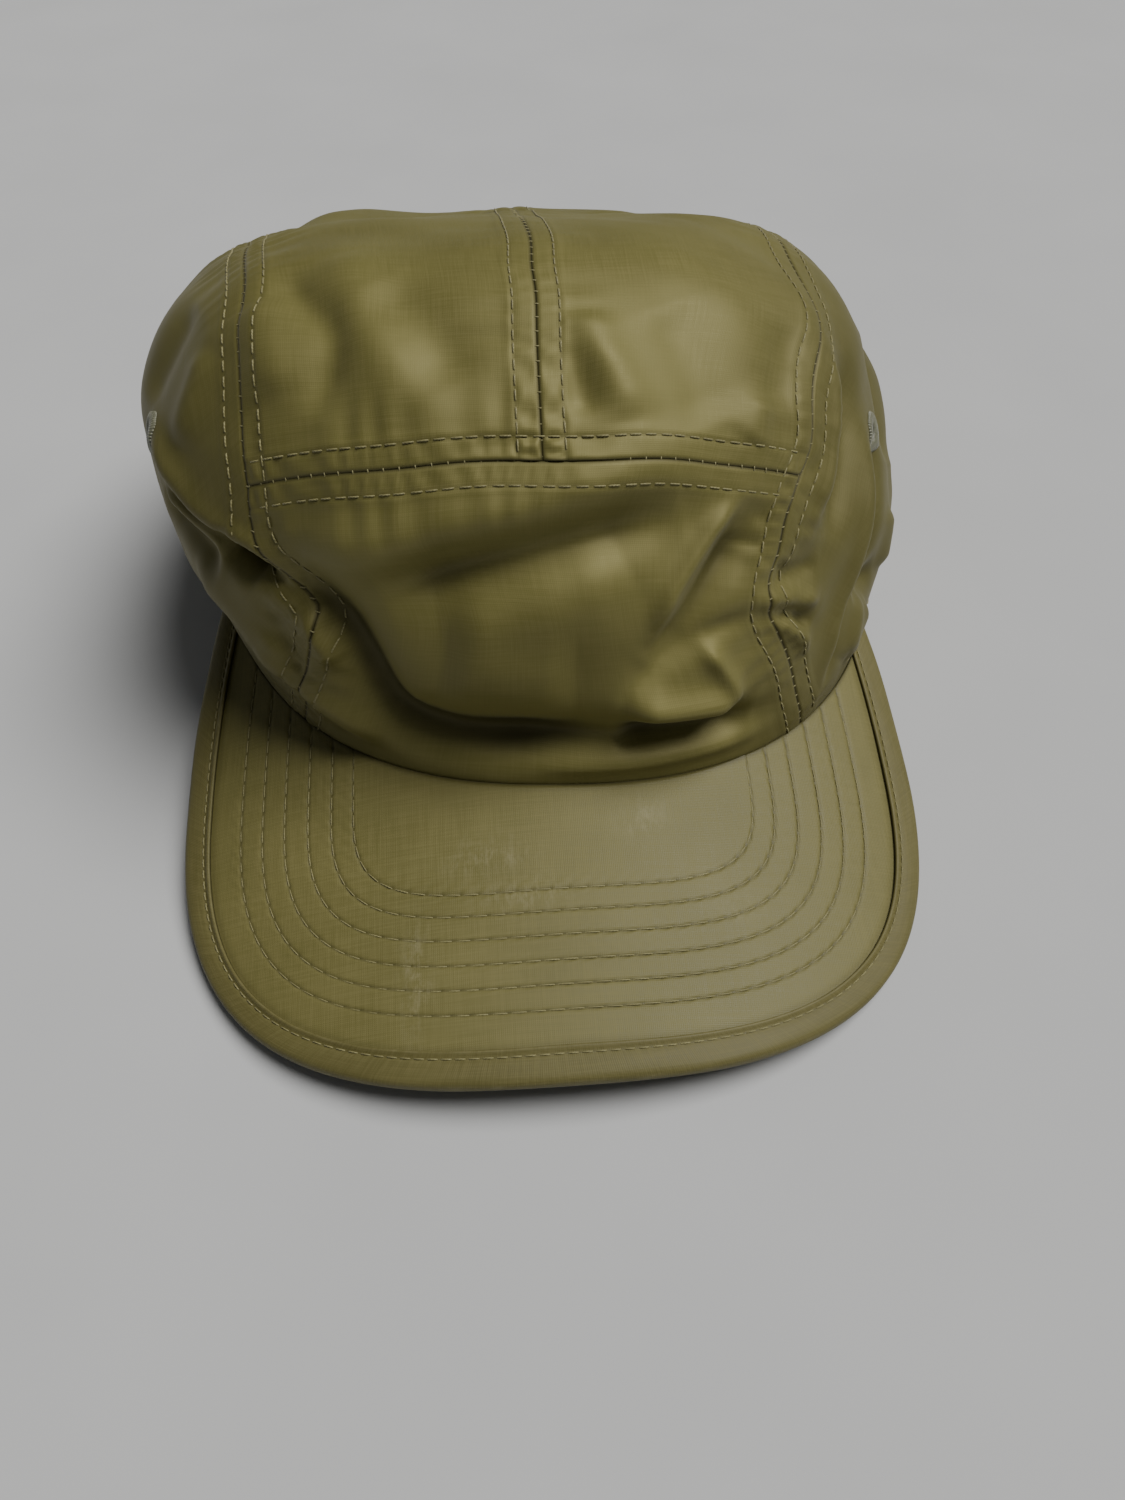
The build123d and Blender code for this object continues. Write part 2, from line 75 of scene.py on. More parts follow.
SEAM_STEP = 1.5
RIGHT_SEAM = [(-62, -77, -1), (-58.5, -78, 6), (-55, -82, 18), (-51.5, -86, 31), (-49.5, -87, 41),
              (-54, -83, 47), (-58.6, -79, 52), (-60.5, -76, 59), (-60.2, -74, 64), (-60.5, -69, 72),
              (-60.5, -64, 77.5), (-59.5, -56, 84), (-59.3, -49, 88), (-59, -42, 91), (-62, -20, 91.6),
              (-66, -2, 90), (-71, 18, 86), (-74, 38, 80), (-74, 60, 70), (-70, 80, 52), (-66, 92, 28),
              (-63, 97, -1)]
LEFT_SEAM = [(63, -83.2, -4), (59, -84.8, 8.5), (56.3, -85.5, 18.7), (52.9, -86.5, 27.7), (49.9, -87, 35.7),
             (49.6, -86, 40), (52, -82, 47), (53.1, -78.5, 52.7), (54.7, -75, 57), (56.3, -72, 60),
             (58.9, -67.5, 64), (60.3, -61.8, 70.7), (63, -52.7, 76.3), (65.6, -41.3, 80.5), (64.8, -33, 84),
             (64.2, -20, 86), (67, -2, 87), (71.5, 18, 84), (74.5, 38, 79), (75, 60, 69), (71, 80, 52),
             (66, 92, 28), (63, 97, -1)]
CROSS_SEAM = [(-60.3, -73.4, 65.3), (-48, -78.2, 69.5), (-38.3, -81.2, 71.6), (-28.4, -83.2, 72.9),
              (-18.6, -84.3, 74.1), (-8.9, -84.8, 74.6), (1.2, -85.3, 74.2), (12.6, -84.8, 73.3),
              (26.2, -82.7, 71.7), (37.8, -80, 68.3), (50.2, -75.2, 63.3), (56.3, -72, 60)]
CENTRE_SEAM = [(1.2, -85.3, 74.2), (1.4, -75, 86), (1.7, -65.8, 93), (2, -58, 96.6), (1.7, -51.4, 98.5),
               (2, -41.7, 99.7), (1.4, -26, 98.8), (0.8, -14, 96), (0.2, 10, 90), (0, 40, 80), (0, 70, 69),
               (0, 95, 53.5)]
EYELETS = [(-85.3, -44.4, 63.4), (84.3, -39.1, 51.5), (-90, 18, 47), (90, 20, 47)]
EYELET_HOLE = 1.7

# soft folds: (points, half width, height); a negative height is a hollow
FOLDS = [
    # the side panel's folds over the pocket at the -X front
    ([(-85, -44, 66), (-81, -53, 63), (-75, -63, 57), (-68, -71, 54), (-63, -76, 53),
      (-55, -82, 49)], 3.0, 3.4),
    ([(-82, -54, 57), (-79, -59, 54), (-72, -67, 51), (-68, -72, 49)], 2.4, 2.6),
    ([(-81, -56, 59), (-73, -66, 53), (-66, -74, 50.5), (-60, -79, 48), (-55, -83, 45)], 2.3, -4.5),
    ([(-70, -70, 50), (-66, -74, 48.5), (-61, -78, 46.5)], 3.2, -5.5),
    ([(-84, -48, 50), (-76, -63, 46), (-71, -70, 43)], 4.5, -4.5),
    ([(-78, -58, 36), (-72, -68, 33), (-66, -74, 27), (-60, -79, 19)], 6.0, 2.6),
    ([(-62, -79, 40), (-57, -83, 31), (-56, -83, 20)], 2.6, -1.6),
    # front panel: the roll under the cross seam and the drop below it
    ([(-50, -82, 57), (-34, -89, 58), (-21, -91, 61.5), (-9, -91, 64), (4, -89.5, 66.5), (16, -87.5, 68),
      (30, -83, 68)], 6.5, 4.3),
    ([(-34, -92, 49), (-20, -93.5, 54), (-8, -93, 57), (4, -92.5, 59.5), (16, -90, 61),
      (29, -87, 62)], 5.5, -5.8),
    ([(-22, -95, 44), (-9, -96, 46), (6, -95, 49), (18, -93, 53)], 9.0, 2.6),
    # the hollow that runs down its -X side and along its foot
    ([(-56, -80, 52), (-49, -85, 47), (-43, -89, 39), (-39, -92, 28), (-35, -94, 19), (-25, -98, 14.5),
      (-11, -100, 13.5), (4, -102, 13), (16, -101, 13)], 5.5, -7.4),
    ([(-51, -85, 41), (-48, -87, 35), (-46, -89, 29)], 2.6, 3.1),
    ([(-64, -75, 27), (-56, -82, 21), (-47, -87, 14), (-38, -92, 9)], 4.0, 2.9),
    ([(-22, -97, 34), (-8, -98, 31), (6, -99, 30)], 9.0, 3.1),
    ([(-8, -102, 5.5), (14, -102, 6), (32, -99, 5.5), (50, -91, 5)], 3.0, 2.4),
    # the long crease down from the +X corner
    ([(42, -81, 61), (36, -86, 57), (31, -90, 52), (26, -94, 46), (23, -97, 39)], 2.2, 2.9),
    ([(46, -82, 56), (40, -87, 51), (35, -91, 45), (29, -96, 38), (21, -98, 32)], 3.6, -4.5),
    # the tent over the visor at +X
    ([(18, -100, 25), (23, -98, 30), (29, -96, 33), (34, -95, 35), (40, -92, 36), (47, -89, 36)], 2.6, -2.1),
    ([(16, -100, 22), (26, -99, 19.5), (34, -97, 18), (43, -94, 16)], 3.8, 5.5),
    ([(34, -95, 33), (38, -94, 27), (43, -94, 17)], 1.8, 2.1),
    ([(14, -101, 13), (24, -100, 12.5), (34, -98, 12), (47, -92, 10)], 4.0, -6.0),
    # around the kink in the +X seam
    ([(47, -88, 39), (57, -83, 35), (64, -78, 31)], 2.0, 2.0),
    ([(50, -87, 34), (57, -83, 31), (62, -80, 26)], 1.8, -2.0),
    ([(49, -87, 34), (57, -83, 27), (61, -81, 20)], 2.2, 2.1),
    ([(51, -85, 43), (58, -81, 41), (64, -76, 39)], 2.4, -2.1),
    # +X side panel: a ridge beside the seam, the fold that hangs over the front and the facet under it
    ([(68, -46, 75), (68, -52, 70), (67, -58, 65), (66, -64, 59), (63, -70, 53), (60, -75, 48)], 2.4, 1.9),
    ([(73, -40, 73), (74, -46, 66), (74, -52, 59), (71, -61, 52), (66, -72, 43)], 4.5, -3.8),
    ([(80, -46, 54), (78, -55, 45), (76, -61, 38), (74, -66, 32), (71, -71, 24), (68, -76, 15),
      (66, -79, 5)], 2.6, 2.6),
    ([(85, -40, 50), (82, -50, 40), (80, -56, 31), (79, -61, 24)], 3.6, -4.6),
    ([(89, -40, 31), (89, -43, 24), (88, -45, 16)], 4.0, 2.3),
    ([(85, -50, 20), (79, -61, 21), (75, -66, 24)], 3.0, -3.2),
    ([(83, -56, 13), (79, -62, 11), (73, -70, 8)], 4.5, 2.6),
    ([(77, -63, 29), (72, -70, 24), (69, -74, 16), (66, -78, 6)], 1.6, -1.8),
    ([(80, -60, 22), (76, -66, 17), (71, -72, 9)], 3.2, 2.4),
    ([(88, -10, 62), (90, -19, 50), (91, -28, 36)], 8.0, -4.2),
    ([(94, 10, 50), (94, -15, 36), (90, -36, 20)], 8.0, 2.4),
    # -X side panel
    ([(-72, -30, 86), (-80, -34, 76), (-85, -36, 66)], 6.0, -2.0),
    ([(-66, -46, 82), (-71, -52, 74), (-76, -56, 66)], 4.5, 1.7),
    ([(-94, 5, 60), (-92, -20, 46), (-86, -42, 36)], 8.0, -3.2),
    ([(-94, 20, 40), (-92, -10, 26), (-84, -40, 20)], 8.0, 2.3),
    # top panels
    ([(-55, -44, 92), (-53, -58, 87), (-52, -67, 81)], 5.0, 1.8),
    ([(-50, -36, 95), (-46, -50, 94), (-40, -60, 92), (-41, -67, 86), (-45, -72, 79)], 4.0, -2.2),
    ([(-37, -35, 98), (-33, -58, 94), (-28, -69, 89), (-22, -76, 84)], 6.0, 1.8),
    ([(-30, -50, 96), (-20, -64, 94), (-14, -76, 86)], 6.5, -1.8),
    ([(11, -62, 94), (14, -70, 89), (18, -76, 83), (19, -80, 79)], 4.5, 1.8),
    ([(8, -68, 91), (10, -75, 85), (11, -80, 80)], 3.0, -1.4),
    ([(28, -60, 94), (34, -70, 86), (38, -77, 76)], 7.0, -1.8),
    ([(44, -75, 70), (48, -68, 76)], 3.6, 1.4),
    ([(50, -68, 73), (55, -58, 79), (58, -48, 84)], 5.5, -1.8),
    ([(-50, 10, 90), (-30, 24, 86), (-6, 30, 83)], 12.0, -3.4),
    ([(50, 0, 91), (34, 30, 84), (20, 54, 76)], 12.0, -3.1),
    ([(-60, 40, 78), (-40, 66, 70), (-24, 88, 58)], 9.0, 2.2),
    ([(62, 46, 76), (46, 72, 66), (36, 92, 50)], 9.0, -2.5),
    ([(-20, 70, 69), (0, 84, 62), (24, 78, 65)], 8.0, -1.7),
    # sides towards the back
    ([(94, 40, 60), (94, 44, 30), (92, 46, 8)], 8.0, -2.4),
    ([(88, 62, 62), (86, 66, 36), (80, 72, 12)], 7.0, 2.0),
    ([(-94, 30, 62), (-96, 36, 34), (-92, 40, 8)], 8.0, -2.6),
    ([(-86, 60, 64), (-86, 64, 38), (-80, 72, 12)], 7.0, 2.2),
]
CREST = 0.22                          # how round a fold's crest is, as a share of its half width
RELIEF_START, RELIEF_FULL = 0.5, 9.0  # the rim holds the cloth: folds grow between these heights over it
CREASE_PAINTED_SHADE, SIDE_PAINTED_SHADE = 0.84, 0.42   # painted shade in the deep hollows, and on the parts that face sideways
CREASE_FROM, CREASE_TO = 2.3, 6.6     # depths of a hollow between which its painted shade grows
HEM_PULL, HEM_THIN = 0.4, 0.3         # how far the sewn lower edge is pulled in, and how much thinner it is

# twin-needle seams
SEAM_ROW = 4.7                        # from the seam to each needle row
DITCH, DITCH_W = 0.3, 0.45            # depth and half width of the seam's own line
ROW_DEPTH, ROW_W = 0.14, 0.6          # and of each needle row
ALLOWANCE = 0.2                       # how much higher the cloth is over the seam allowance
LADDER, LADDER_PITCH = 0.3, 4.3       # puckers between the needle rows
RAYS, RAYS_PITCH = 0.26, 8.2          # puckers that run out from them
STITCH, STITCH_GAP, THREAD_R = 2.5, 0.7, 0.2

# visor stitch rows, as shares from the first row (0) to the edge (1)
ROW_SHARES = [0.0, 0.12, 0.249, 0.382, 0.51, 0.638]
FIRST_ROW = (46.7, 25.0, -5.0, 3.7)        # half width, depth, widest place and squareness of the first row
EDGE = (92.0, 67.0, -16.0, 2.56)           # and of the visor's edge
RIDGE_SHARE, EDGE_ROW_SHARE = 0.822, 0.862
VISOR_STITCH, EDGE_STITCH = 4.0, 2.9

# ---------------------------------------------------------------- curves and surfaces


def smooth(low, high, x):
    t = np.clip((x - low) / (high - low), 0, 1)
    return t * t * (3 - 2 * t)


def spline(knots, values, t):
    """Natural cubic spline through values at knots."""
    knots, values = np.asarray(knots, float), np.asarray(values, float)
    n, h = len(knots), np.diff(knots)
    a, b = np.eye(n), np.zeros_like(values)
    for i in range(1, n - 1):
        a[i, i - 1:i + 2] = h[i - 1], 2 * (h[i - 1] + h[i]), h[i]
        b[i] = 6 * ((values[i + 1] - values[i]) / h[i] - (values[i] - values[i - 1]) / h[i - 1])
    m = np.linalg.solve(a, b)
    t = np.asarray(t, float)
    k = np.clip(np.searchsorted(knots, t) - 1, 0, n - 2)
    step = h[k][..., None]
    p = ((knots[k + 1] - t) / h[k])[..., None]
    q = 1 - p
    bend = (p ** 3 - p) * m[k] + (q ** 3 - q) * m[k + 1]
    return p * values[k] + q * values[k + 1] + bend * step ** 2 / 6


def unit(v):
    return v / np.maximum(np.linalg.norm(v, axis=-1, keepdims=True), 1e-12)


def arc_of(points):
    return np.concatenate([[0], np.cumsum(np.linalg.norm(np.diff(points, axis=0), axis=1))])


def at_shares(points, shares):
    """Places on a polyline at shares of its length."""
    arc = arc_of(points)
    return np.stack([np.interp(np.asarray(shares) * arc[-1], arc, column) for column in points.T], -1)


def smooth_line(points, step):
    """Evenly spaced points on a smooth curve through a few."""
    points = np.asarray(points, float)
    knots = arc_of(points)
    fine = spline(knots, points, np.linspace(0, knots[-1], 40 * len(points)))
    return at_shares(fine, np.linspace(0, 1, max(3, int(arc_of(fine)[-1] / step))))


def near(points, line):
    """Each point's distance from a polyline, and how far along it the nearest place is."""
    a, ab = line[:-1], np.diff(line, axis=0)
    l2, start = np.maximum((ab ** 2).sum(1), 1e-12), arc_of(line)[:-1]
    dist, arc = np.empty(len(points)), np.empty(len(points))
    for i in range(0, len(points), 3000):
        p = points[i:i + 3000, None]
        t = np.clip(((p - a) * ab).sum(2) / l2, 0, 1)
        d = np.linalg.norm(p - a - t[..., None] * ab, axis=2)
        j, k = d.argmin(1), np.arange(len(d))
        dist[i:i + 3000], arc[i:i + 3000] = d[k, j], start[j] + t[k, j] * np.sqrt(l2[j])
    return dist, arc


def crown(a, s):
    """The crown's form: a goes round it, s up it."""
    ring = spline(np.arange(len(HALF)), [f + b + (w,) for f, b, w in zip(FRONT, BACK, HALF)], s)
    fy, fz, by, bz, w = np.moveaxis(ring, -1, 0)
    cx, sx = (np.sign(f(a)) * abs(f(a)) ** SQUARENESS for f in (np.cos, np.sin))
    return leaned(np.stack([w * cx, (fy + by + sx * (by - fy)) / 2, (fz + bz + sx * (bz - fz)) / 2], -1))


def leaned(p):
    """The crown turned and slumped to one side, except where the strap holds its back."""
    x, y, z = np.moveaxis(p, -1, 0)
    w = 1 - smooth(40, 95, y) * (1 - smooth(30, 60, z))
    turn = LEAN_TURN * w
    shift = w * (LEAN_RIM - LEAN_FALL * np.minimum(z, LEAN_TOP))
    return np.stack([x * np.cos(turn) - y * np.sin(turn) + shift, x * np.sin(turn) + y * np.cos(turn), z], -1)


def quads(rows, cols):
    i = np.arange(rows * cols).reshape(rows, cols)
    return np.stack([i[:-1, :-1], i[:-1, 1:], i[1:, 1:], i[1:, :-1]], -1).reshape(-1, 4)


def crown_tree(rounds=700, rises=300):
    a, s = np.meshgrid(np.linspace(-pi, pi, rounds), np.linspace(0.1, len(HALF) - 1, rises))
    return BVHTree.FromPolygons(crown(a, s).reshape(-1, 3).tolist(), quads(rises, rounds).tolist())


TREE = crown_tree()


def land(points, origin=None, direction=None):
    """Points pushed onto the crown's form, from its heart or along a direction, and its normals there."""
    out, normal = np.array(points, float), np.zeros_like(points, float)
    for i, p in enumerate(out.copy()):
        o = HEART if origin is None else origin + p * (1 - abs(direction))
        d = p - HEART if direction is None else direction
        hit, n, _, _ = TREE.ray_cast(o.tolist(), d.tolist())
        if hit is not None:
            out[i] = hit
            normal[i] = n
    facing = np.sign((normal * (out - HEART)).sum(-1, keepdims=True))
    return out, normal * facing


BACKWARDS = np.array([0.0, 1.0, 0.0])


def to_back(points):
    """Points (x, z) pushed straight back onto the rear wall."""
    flat = np.stack([points[:, 0], 0 * points[:, 0], points[:, 1]], -1)
    return land(flat, np.zeros(3), BACKWARDS)


def to_world(p):
    """Cap frame in mm to row frame in metres."""
    x, y, z = np.moveaxis(np.asarray(p, float), -1, 0)
    c, s = cos(TILT), sin(TILT)
    return np.stack([x, RIM_Y + y * c + z * s, RIM_LIFT - y * s + z * c], -1) / 1000


def heel_line():
    """Where the crown's outer face meets the visor's top: (u, v) on it, and the same in the cap frame."""
    a, s = np.meshgrid(np.linspace(-pi + 0.02, -0.02, 260), np.linspace(0.02, 2.4, 140), indexing="ij")
    p = crown(a, s)
    x, y, z = np.moveaxis(to_world(p) * 1000, -1, 0)
    u = VISOR_CURVE * np.arcsin(x / VISOR_CURVE)
    v = (VISOR_Y - y) / cos(VISOR_DROOP)
    over = z - (VISOR_Z - v * sin(VISOR_DROOP) - VISOR_CURVE + VISOR_CURVE * np.cos(u / VISOR_CURVE))
    table = np.concatenate([np.stack([u, v], -1), p], -1)
    line = np.array([[np.interp(0, f, row[:, k]) for k in range(5)] for f, row in zip(over, table)])
    rising = np.concatenate([[True], np.diff(np.maximum.accumulate(line[:, 0])) > 1e-6])
    return line[rising, :2], line[rising, 2:]


HEEL, HEEL_PLACE = heel_line()


def edge_height(angle):
    """Height of the cloth's lower edge over the plane of the rim: it follows the visor where there is one."""
    front = HEEL_PLACE[HEEL_PLACE[:, 1] < -20]
    inside = 1 - smooth(VISOR_ENDS[0], VISOR_ENDS[1], np.abs(angle + pi / 2))
    return inside * (np.interp(angle, np.arctan2(front[:, 1], front[:, 0]), front[:, 2]) - SEWN_UNDER)


def over_edge(p):
    """Height of points over the crown's lower edge."""
    return p[:, 2] - edge_height(np.arctan2(p[:, 1], p[:, 0]))


SEAMS = {name: land(smooth_line(points, SEAM_STEP))[0] for name, points in
         (("right", RIGHT_SEAM), ("left", LEFT_SEAM), ("cross", CROSS_SEAM), ("centre", CENTRE_SEAM))}
FOLD_LINES = [(land(smooth_line(points, 4.0))[0], width, height) for points, width, height in FOLDS]

# slow waves that no cloth is without: (wave vector in radians per mm, phase, height)
SEED = 11
rng = np.random.default_rng(SEED)
WAVES = []
for length, height, count in ((46.0, 0.6, 7), (22.0, 0.22, 8), (11.0, 0.04, 8)):
    for way in unit(rng.normal(size=(count, 3))):
        waves_per_mm = way / (length * rng.uniform(0.75, 1.3))
        WAVES.append((2 * pi * waves_per_mm, rng.uniform(0, 2 * pi), height / count ** 0.5))


def folds(p):
    """Height of the folds and slow waves at points of the form."""
    h = np.zeros(len(p))
    for line, width, height in FOLD_LINES:
        close = np.abs(p - line.mean(0)).max(1) < 90
        d, arc = near(p[close], line)
        length = arc_of(line)[-1]
        ends = smooth(-0.1, 0.25, arc / length) * smooth(-0.1, 0.25, 1 - arc / length)
        crest = CREST * width
        h[close] += height * np.exp(-((np.hypot(d, crest) - crest) / width) ** 1.5) * ends
    for way, phase, height in WAVES:
        h += height * np.sin(p @ way + phase)
    return h * smooth(RELIEF_START, RELIEF_FULL, over_edge(p))


def seam_relief(p, names):
    """Height and painted shade that the named seams give the cloth."""
    h, dark = np.zeros(len(p)), np.zeros(len(p))
    for name in names:
        d, arc = near(p, SEAMS[name])
        phase = 1.7 * np.sin(arc * 0.21) + 1.1 * np.sin(arc * 0.083 + 2)
        patchy = 0.55 + 0.45 * np.sin(arc * 0.047 + 1.3 * len(name))
        ladder = np.sin(2 * pi * arc / LADDER_PITCH + 2 * phase) * smooth(0.3, 2.0, d)
        ladder *= 1 - smooth(3.5, SEAM_ROW, d)
        rays = np.sin(2 * pi * arc / RAYS_PITCH + phase) * smooth(3.5, 6.5, d) * (1 - smooth(8, 19, d))
        h += -DITCH * np.exp(-(d / DITCH_W) ** 2) + ALLOWANCE * (1 - smooth(5.3, 7.2, d))
        h -= ROW_DEPTH * np.exp(-((d - SEAM_ROW) / ROW_W) ** 2)
        h += patchy * (LADDER * ladder + RAYS * rays)
        # painted shade in the seam's ditch and along its needle rows
        dark = np.maximum(dark, 0.95 * np.exp(-(d / 0.42) ** 2) + 0.3 * np.exp(-((d - SEAM_ROW) / 0.35) ** 2))
    return h, dark


def visor(u, v, down=0.0):
    """A point of the visor in the row frame, in metres, down under its top face."""
    r = VISOR_CURVE - down
    return np.stack([r * np.sin(u / VISOR_CURVE), VISOR_Y - v * cos(VISOR_DROOP),
                     VISOR_Z - v * sin(VISOR_DROOP) - VISOR_CURVE + r * np.cos(u / VISOR_CURVE)], -1) / 1000


# ---------------------------------------------------------------- meshes
COLLECTION = bpy.context.scene.collection


def mesh_object(name, points, faces, material, uv=None, **shares):
    """An object from points in metres. shares are numbers per point that its material reads."""
    me = bpy.data.meshes.new(name)
    me.from_pydata(np.asarray(points).tolist(), [], [list(map(int, f)) for f in faces])
    me.polygons.foreach_set("use_smooth", [True] * len(me.polygons))
    for key, values in shares.items():
        me.attributes.new(key, "FLOAT", "POINT").data.foreach_set("value", np.asarray(values, np.float32))
    if uv is not None:
        loops = np.empty(len(me.loops), np.int32)
        me.loops.foreach_get("vertex_index", loops)
        me.uv_layers.new(name="cloth").data.foreach_set("uv", np.asarray(uv, np.float32)[loops].ravel())
    me.materials.append(material)
    me.validate()
    o = bpy.data.objects.new(name, me)
    COLLECTION.objects.link(o)
    return o


def finished(o, slot, *nodes, body="cap"):
    """The piece rides on its body and stands for its CAD nodes, which it hides. slot is not used."""
    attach(o, body)
    if nodes:
        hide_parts(*nodes)
    return o


def grid_normals(grid):
    du, dv = np.gradient(grid, axis=1), np.gradient(grid, axis=0)
    return unit(np.cross(du, dv))


def shell(name, outer, inner, material, keep=None, uv=None, shade=0.0, wear=0.0):
    """A closed piece between an outer and an inner grid of points in metres. keep drops cells.

    shade says how much painted shade the outer face has, and wear how rubbed it is."""
    rows, cols = outer.shape[:2]
    n = rows * cols
    cells = quads(rows, cols)
    keep = np.ones(len(cells), bool) if keep is None else keep.ravel()
    flip = ((outer - inner) * grid_normals(outer)).sum() < 0
    top = cells[keep]
    faces = [top[:, ::-1] if flip else top, (top if flip else top[:, ::-1]) + n]
    edges = np.stack([top, np.roll(top, -1, 1)], -1).reshape(-1, 2)
    code, twin = edges[:, 0] * n + edges[:, 1], edges[:, 1] * n + edges[:, 0]
    rim = edges[~np.isin(code, twin)]
    wall = np.stack([rim[:, 1], rim[:, 0], rim[:, 0] + n, rim[:, 1] + n], -1)
    faces.append(wall[:, ::-1] if flip else wall)
    faces = np.concatenate(faces)
    used, faces = np.unique(faces, return_inverse=True)
    points = np.concatenate([outer.reshape(-1, 3), inner.reshape(-1, 3)])[used]
    plain = np.zeros(n)
    shade, wear = (np.concatenate([plain + np.ravel(share), plain])[used] for share in (shade, wear))
    uv = (metric_uv(outer) if uv is None else uv).reshape(-1, 2)
    uv = np.concatenate([uv, uv])[used]
    return mesh_object(name, points, faces.reshape(-1, 4), material, uv, shade=shade, wear=wear)


def metric_uv(grid):
    """Where each grid point lies along its row and column, in metres."""
    du = np.linalg.norm(np.diff(grid, axis=1), axis=2).mean(0)
    dv = np.linalg.norm(np.diff(grid, axis=0), axis=2).mean(1)
    u, v = np.concatenate([[0], np.cumsum(du)]), np.concatenate([[0], np.cumsum(dv)])
    return np.stack(np.meshgrid(u, v), -1)


FINE = np.array([0, .3, .6, .9, 1.3, 1.9, 2.6, 3.3, 4.0, 4.5, 4.8, 5.1, 5.5, 6.1, 6.9])


def graded(length, cell):
    """Shares of a length in mm, with fine cells near the seams at its start and end."""
    high = length - FINE[::-1]
    middle = np.linspace(FINE[-1], high[0], max(3, int((high[0] - FINE[-1]) / cell)))[1:-1]
    return np.concatenate([FINE, middle, high]) / length


def patch(bottom, top, left, right, u, v):
    """A grid over four border lines. u and v are the shares along bottom and left."""
    b, t, l, r = at_shares(bottom, u), at_shares(top, u), at_shares(left, v), at_shares(right, v)
    u, v = u[None, :, None], v[:, None, None]
    flat = (1 - u) * (1 - v) * b[0] + u * (1 - v) * b[-1] + (1 - u) * v * t[0] + u * v * t[-1]
    return (1 - v) * b[None] + v * t[None] + (1 - u) * l[:, None] + u * r[:, None] - flat


def landed(grid):
    """The grid on the crown's form, its inside ironed out a little."""
    flat, _ = land(grid.reshape(-1, 3))
    g = flat.reshape(grid.shape)
    for _ in range(3):
        g[1:-1, 1:-1] = (g[1:-1, 1:-1] * 4 + g[:-2, 1:-1] + g[2:, 1:-1] + g[1:-1, :-2] + g[1:-1, 2:]) / 8
    return g


def outward(grid):
    n = grid_normals(grid)
    return n * np.sign((n * (grid - HEART)).sum(-1, keepdims=True).mean())


def panel(name, grid, seams, node, keep=None):
    """One crown panel: its cloth follows the folds, its seams and the rim."""
    grid = landed(grid)
    n = outward(grid)
    p = grid.reshape(-1, 3)
    seam, dark = seam_relief(p, seams)
    edge = over_edge(p)
    hem = np.exp(-(edge / 1.2) ** 2)
    height = folds(p)
    # painted shade: the deep hollows, and the parts that face sideways, are darkened in colour
    dark = np.maximum(dark, CREASE_PAINTED_SHADE * smooth(CREASE_FROM, CREASE_TO, -height))
    dark = np.maximum(dark, SIDE_PAINTED_SHADE * smooth(0.25, 0.9, np.abs(n[..., 0].ravel())))
    lift = (height + seam - HEM_PULL * hem).reshape(grid.shape[:2])
    thick = CLOTH - HEM_THIN * np.exp(-(edge / 2.0) ** 2).reshape(lift.shape)
    outer = grid + n * lift[..., None]
    inner = outer - n * thick[..., None]
    # painted shade along the lower edge, where the cloth meets the visor and rim
    o = shell(name, to_world(outer), to_world(inner), SATIN, keep(grid) if keep else None,
              shade=np.maximum(dark, 0.4 * hem), wear=lint_at(p))
    finished(o, "shell", node)
    return o


def lint_at(p):
    """Dust caught in the cloth low on the seam at the -X front."""
    d = np.linalg.norm(p - np.array([-57.5, -78, 10]), axis=1)
    return 0.9 * np.exp(-(d / 7) ** 2)


# ---------------------------------------------------------------- threads
ROUND = 6


def thread(starts, ends, up, r=THREAD_R, proud=0.12, dip=0.25):
    """Stitches of thread from start to end, each bowed out of the cloth along up. Lengths in mm."""
    along = ends - starts
    length = np.linalg.norm(along, axis=1, keepdims=True)
    sideways = unit(np.cross(along, up))
    low = 0.35 * proud
    rings = []
    profile = ((0, -dip, 0.75), (0.1, low, 1), (0.5, proud, 1), (0.9, low, 1), (1, -dip, 0.75))
    for share, rise, size in profile:
        centre = starts + along * share + up * rise
        for k in range(ROUND):
            a = 2 * pi * k / ROUND
            rings.append(centre + (up * cos(a) + sideways * sin(a)) * r * size)
    count = len(starts)
    points = np.stack(rings, 1)
    faces = []
    for ring in range(4):
        for k in range(ROUND):
            a, b = ring * ROUND + k, ring * ROUND + (k + 1) % ROUND
            faces.append([a, b, b + ROUND, a + ROUND])
    base = np.arange(count)[:, None, None] * points.shape[1]
    body = (np.array(faces)[None] + base).reshape(-1, 4)
    end_faces = np.array([[0, 5, 4, 3], [0, 3, 2, 1], [24, 25, 26, 27], [24, 27, 28, 29]])
    caps = (end_faces[None] + base).reshape(-1, 4)
    share = np.tile(np.repeat([0, 0.1, 0.5, 0.9, 1], ROUND), count)
    lengths = (length * share.reshape(count, -1)).ravel() / 1000
    uv = np.stack([np.tile(np.tile(np.arange(ROUND) / ROUND, 5), count) * 0.001, lengths], -1)
    return points.reshape(-1, 3), np.concatenate([body, caps]), uv


def thread_piece(name, runs, frame_of=to_world):
    """One piece from several runs of stitches."""
    points, faces, uvs, n = [], [], [], 0
    for p, f, uv in runs:
        points.append(frame_of(p))
        faces.append(f + n)
        uvs.append(uv)
        n += len(p)
    o = mesh_object(name, np.concatenate(points), np.concatenate(faces), THREAD, np.concatenate(uvs))
    return finished(o, "thread")


def spaced(line, stitch, gap, jitter=0.06):
    """Start and end shares of stitches along a line."""
    length = arc_of(line)[-1]
    count = max(1, int(length / (stitch + gap)))
    edges = np.linspace(0, 1, count + 1)
    wobble = jitter / count * np.sin(np.arange(count) * 2.4)
    return edges[:-1] + gap / 2 / length + wobble, edges[1:] - gap / 2 / length + wobble


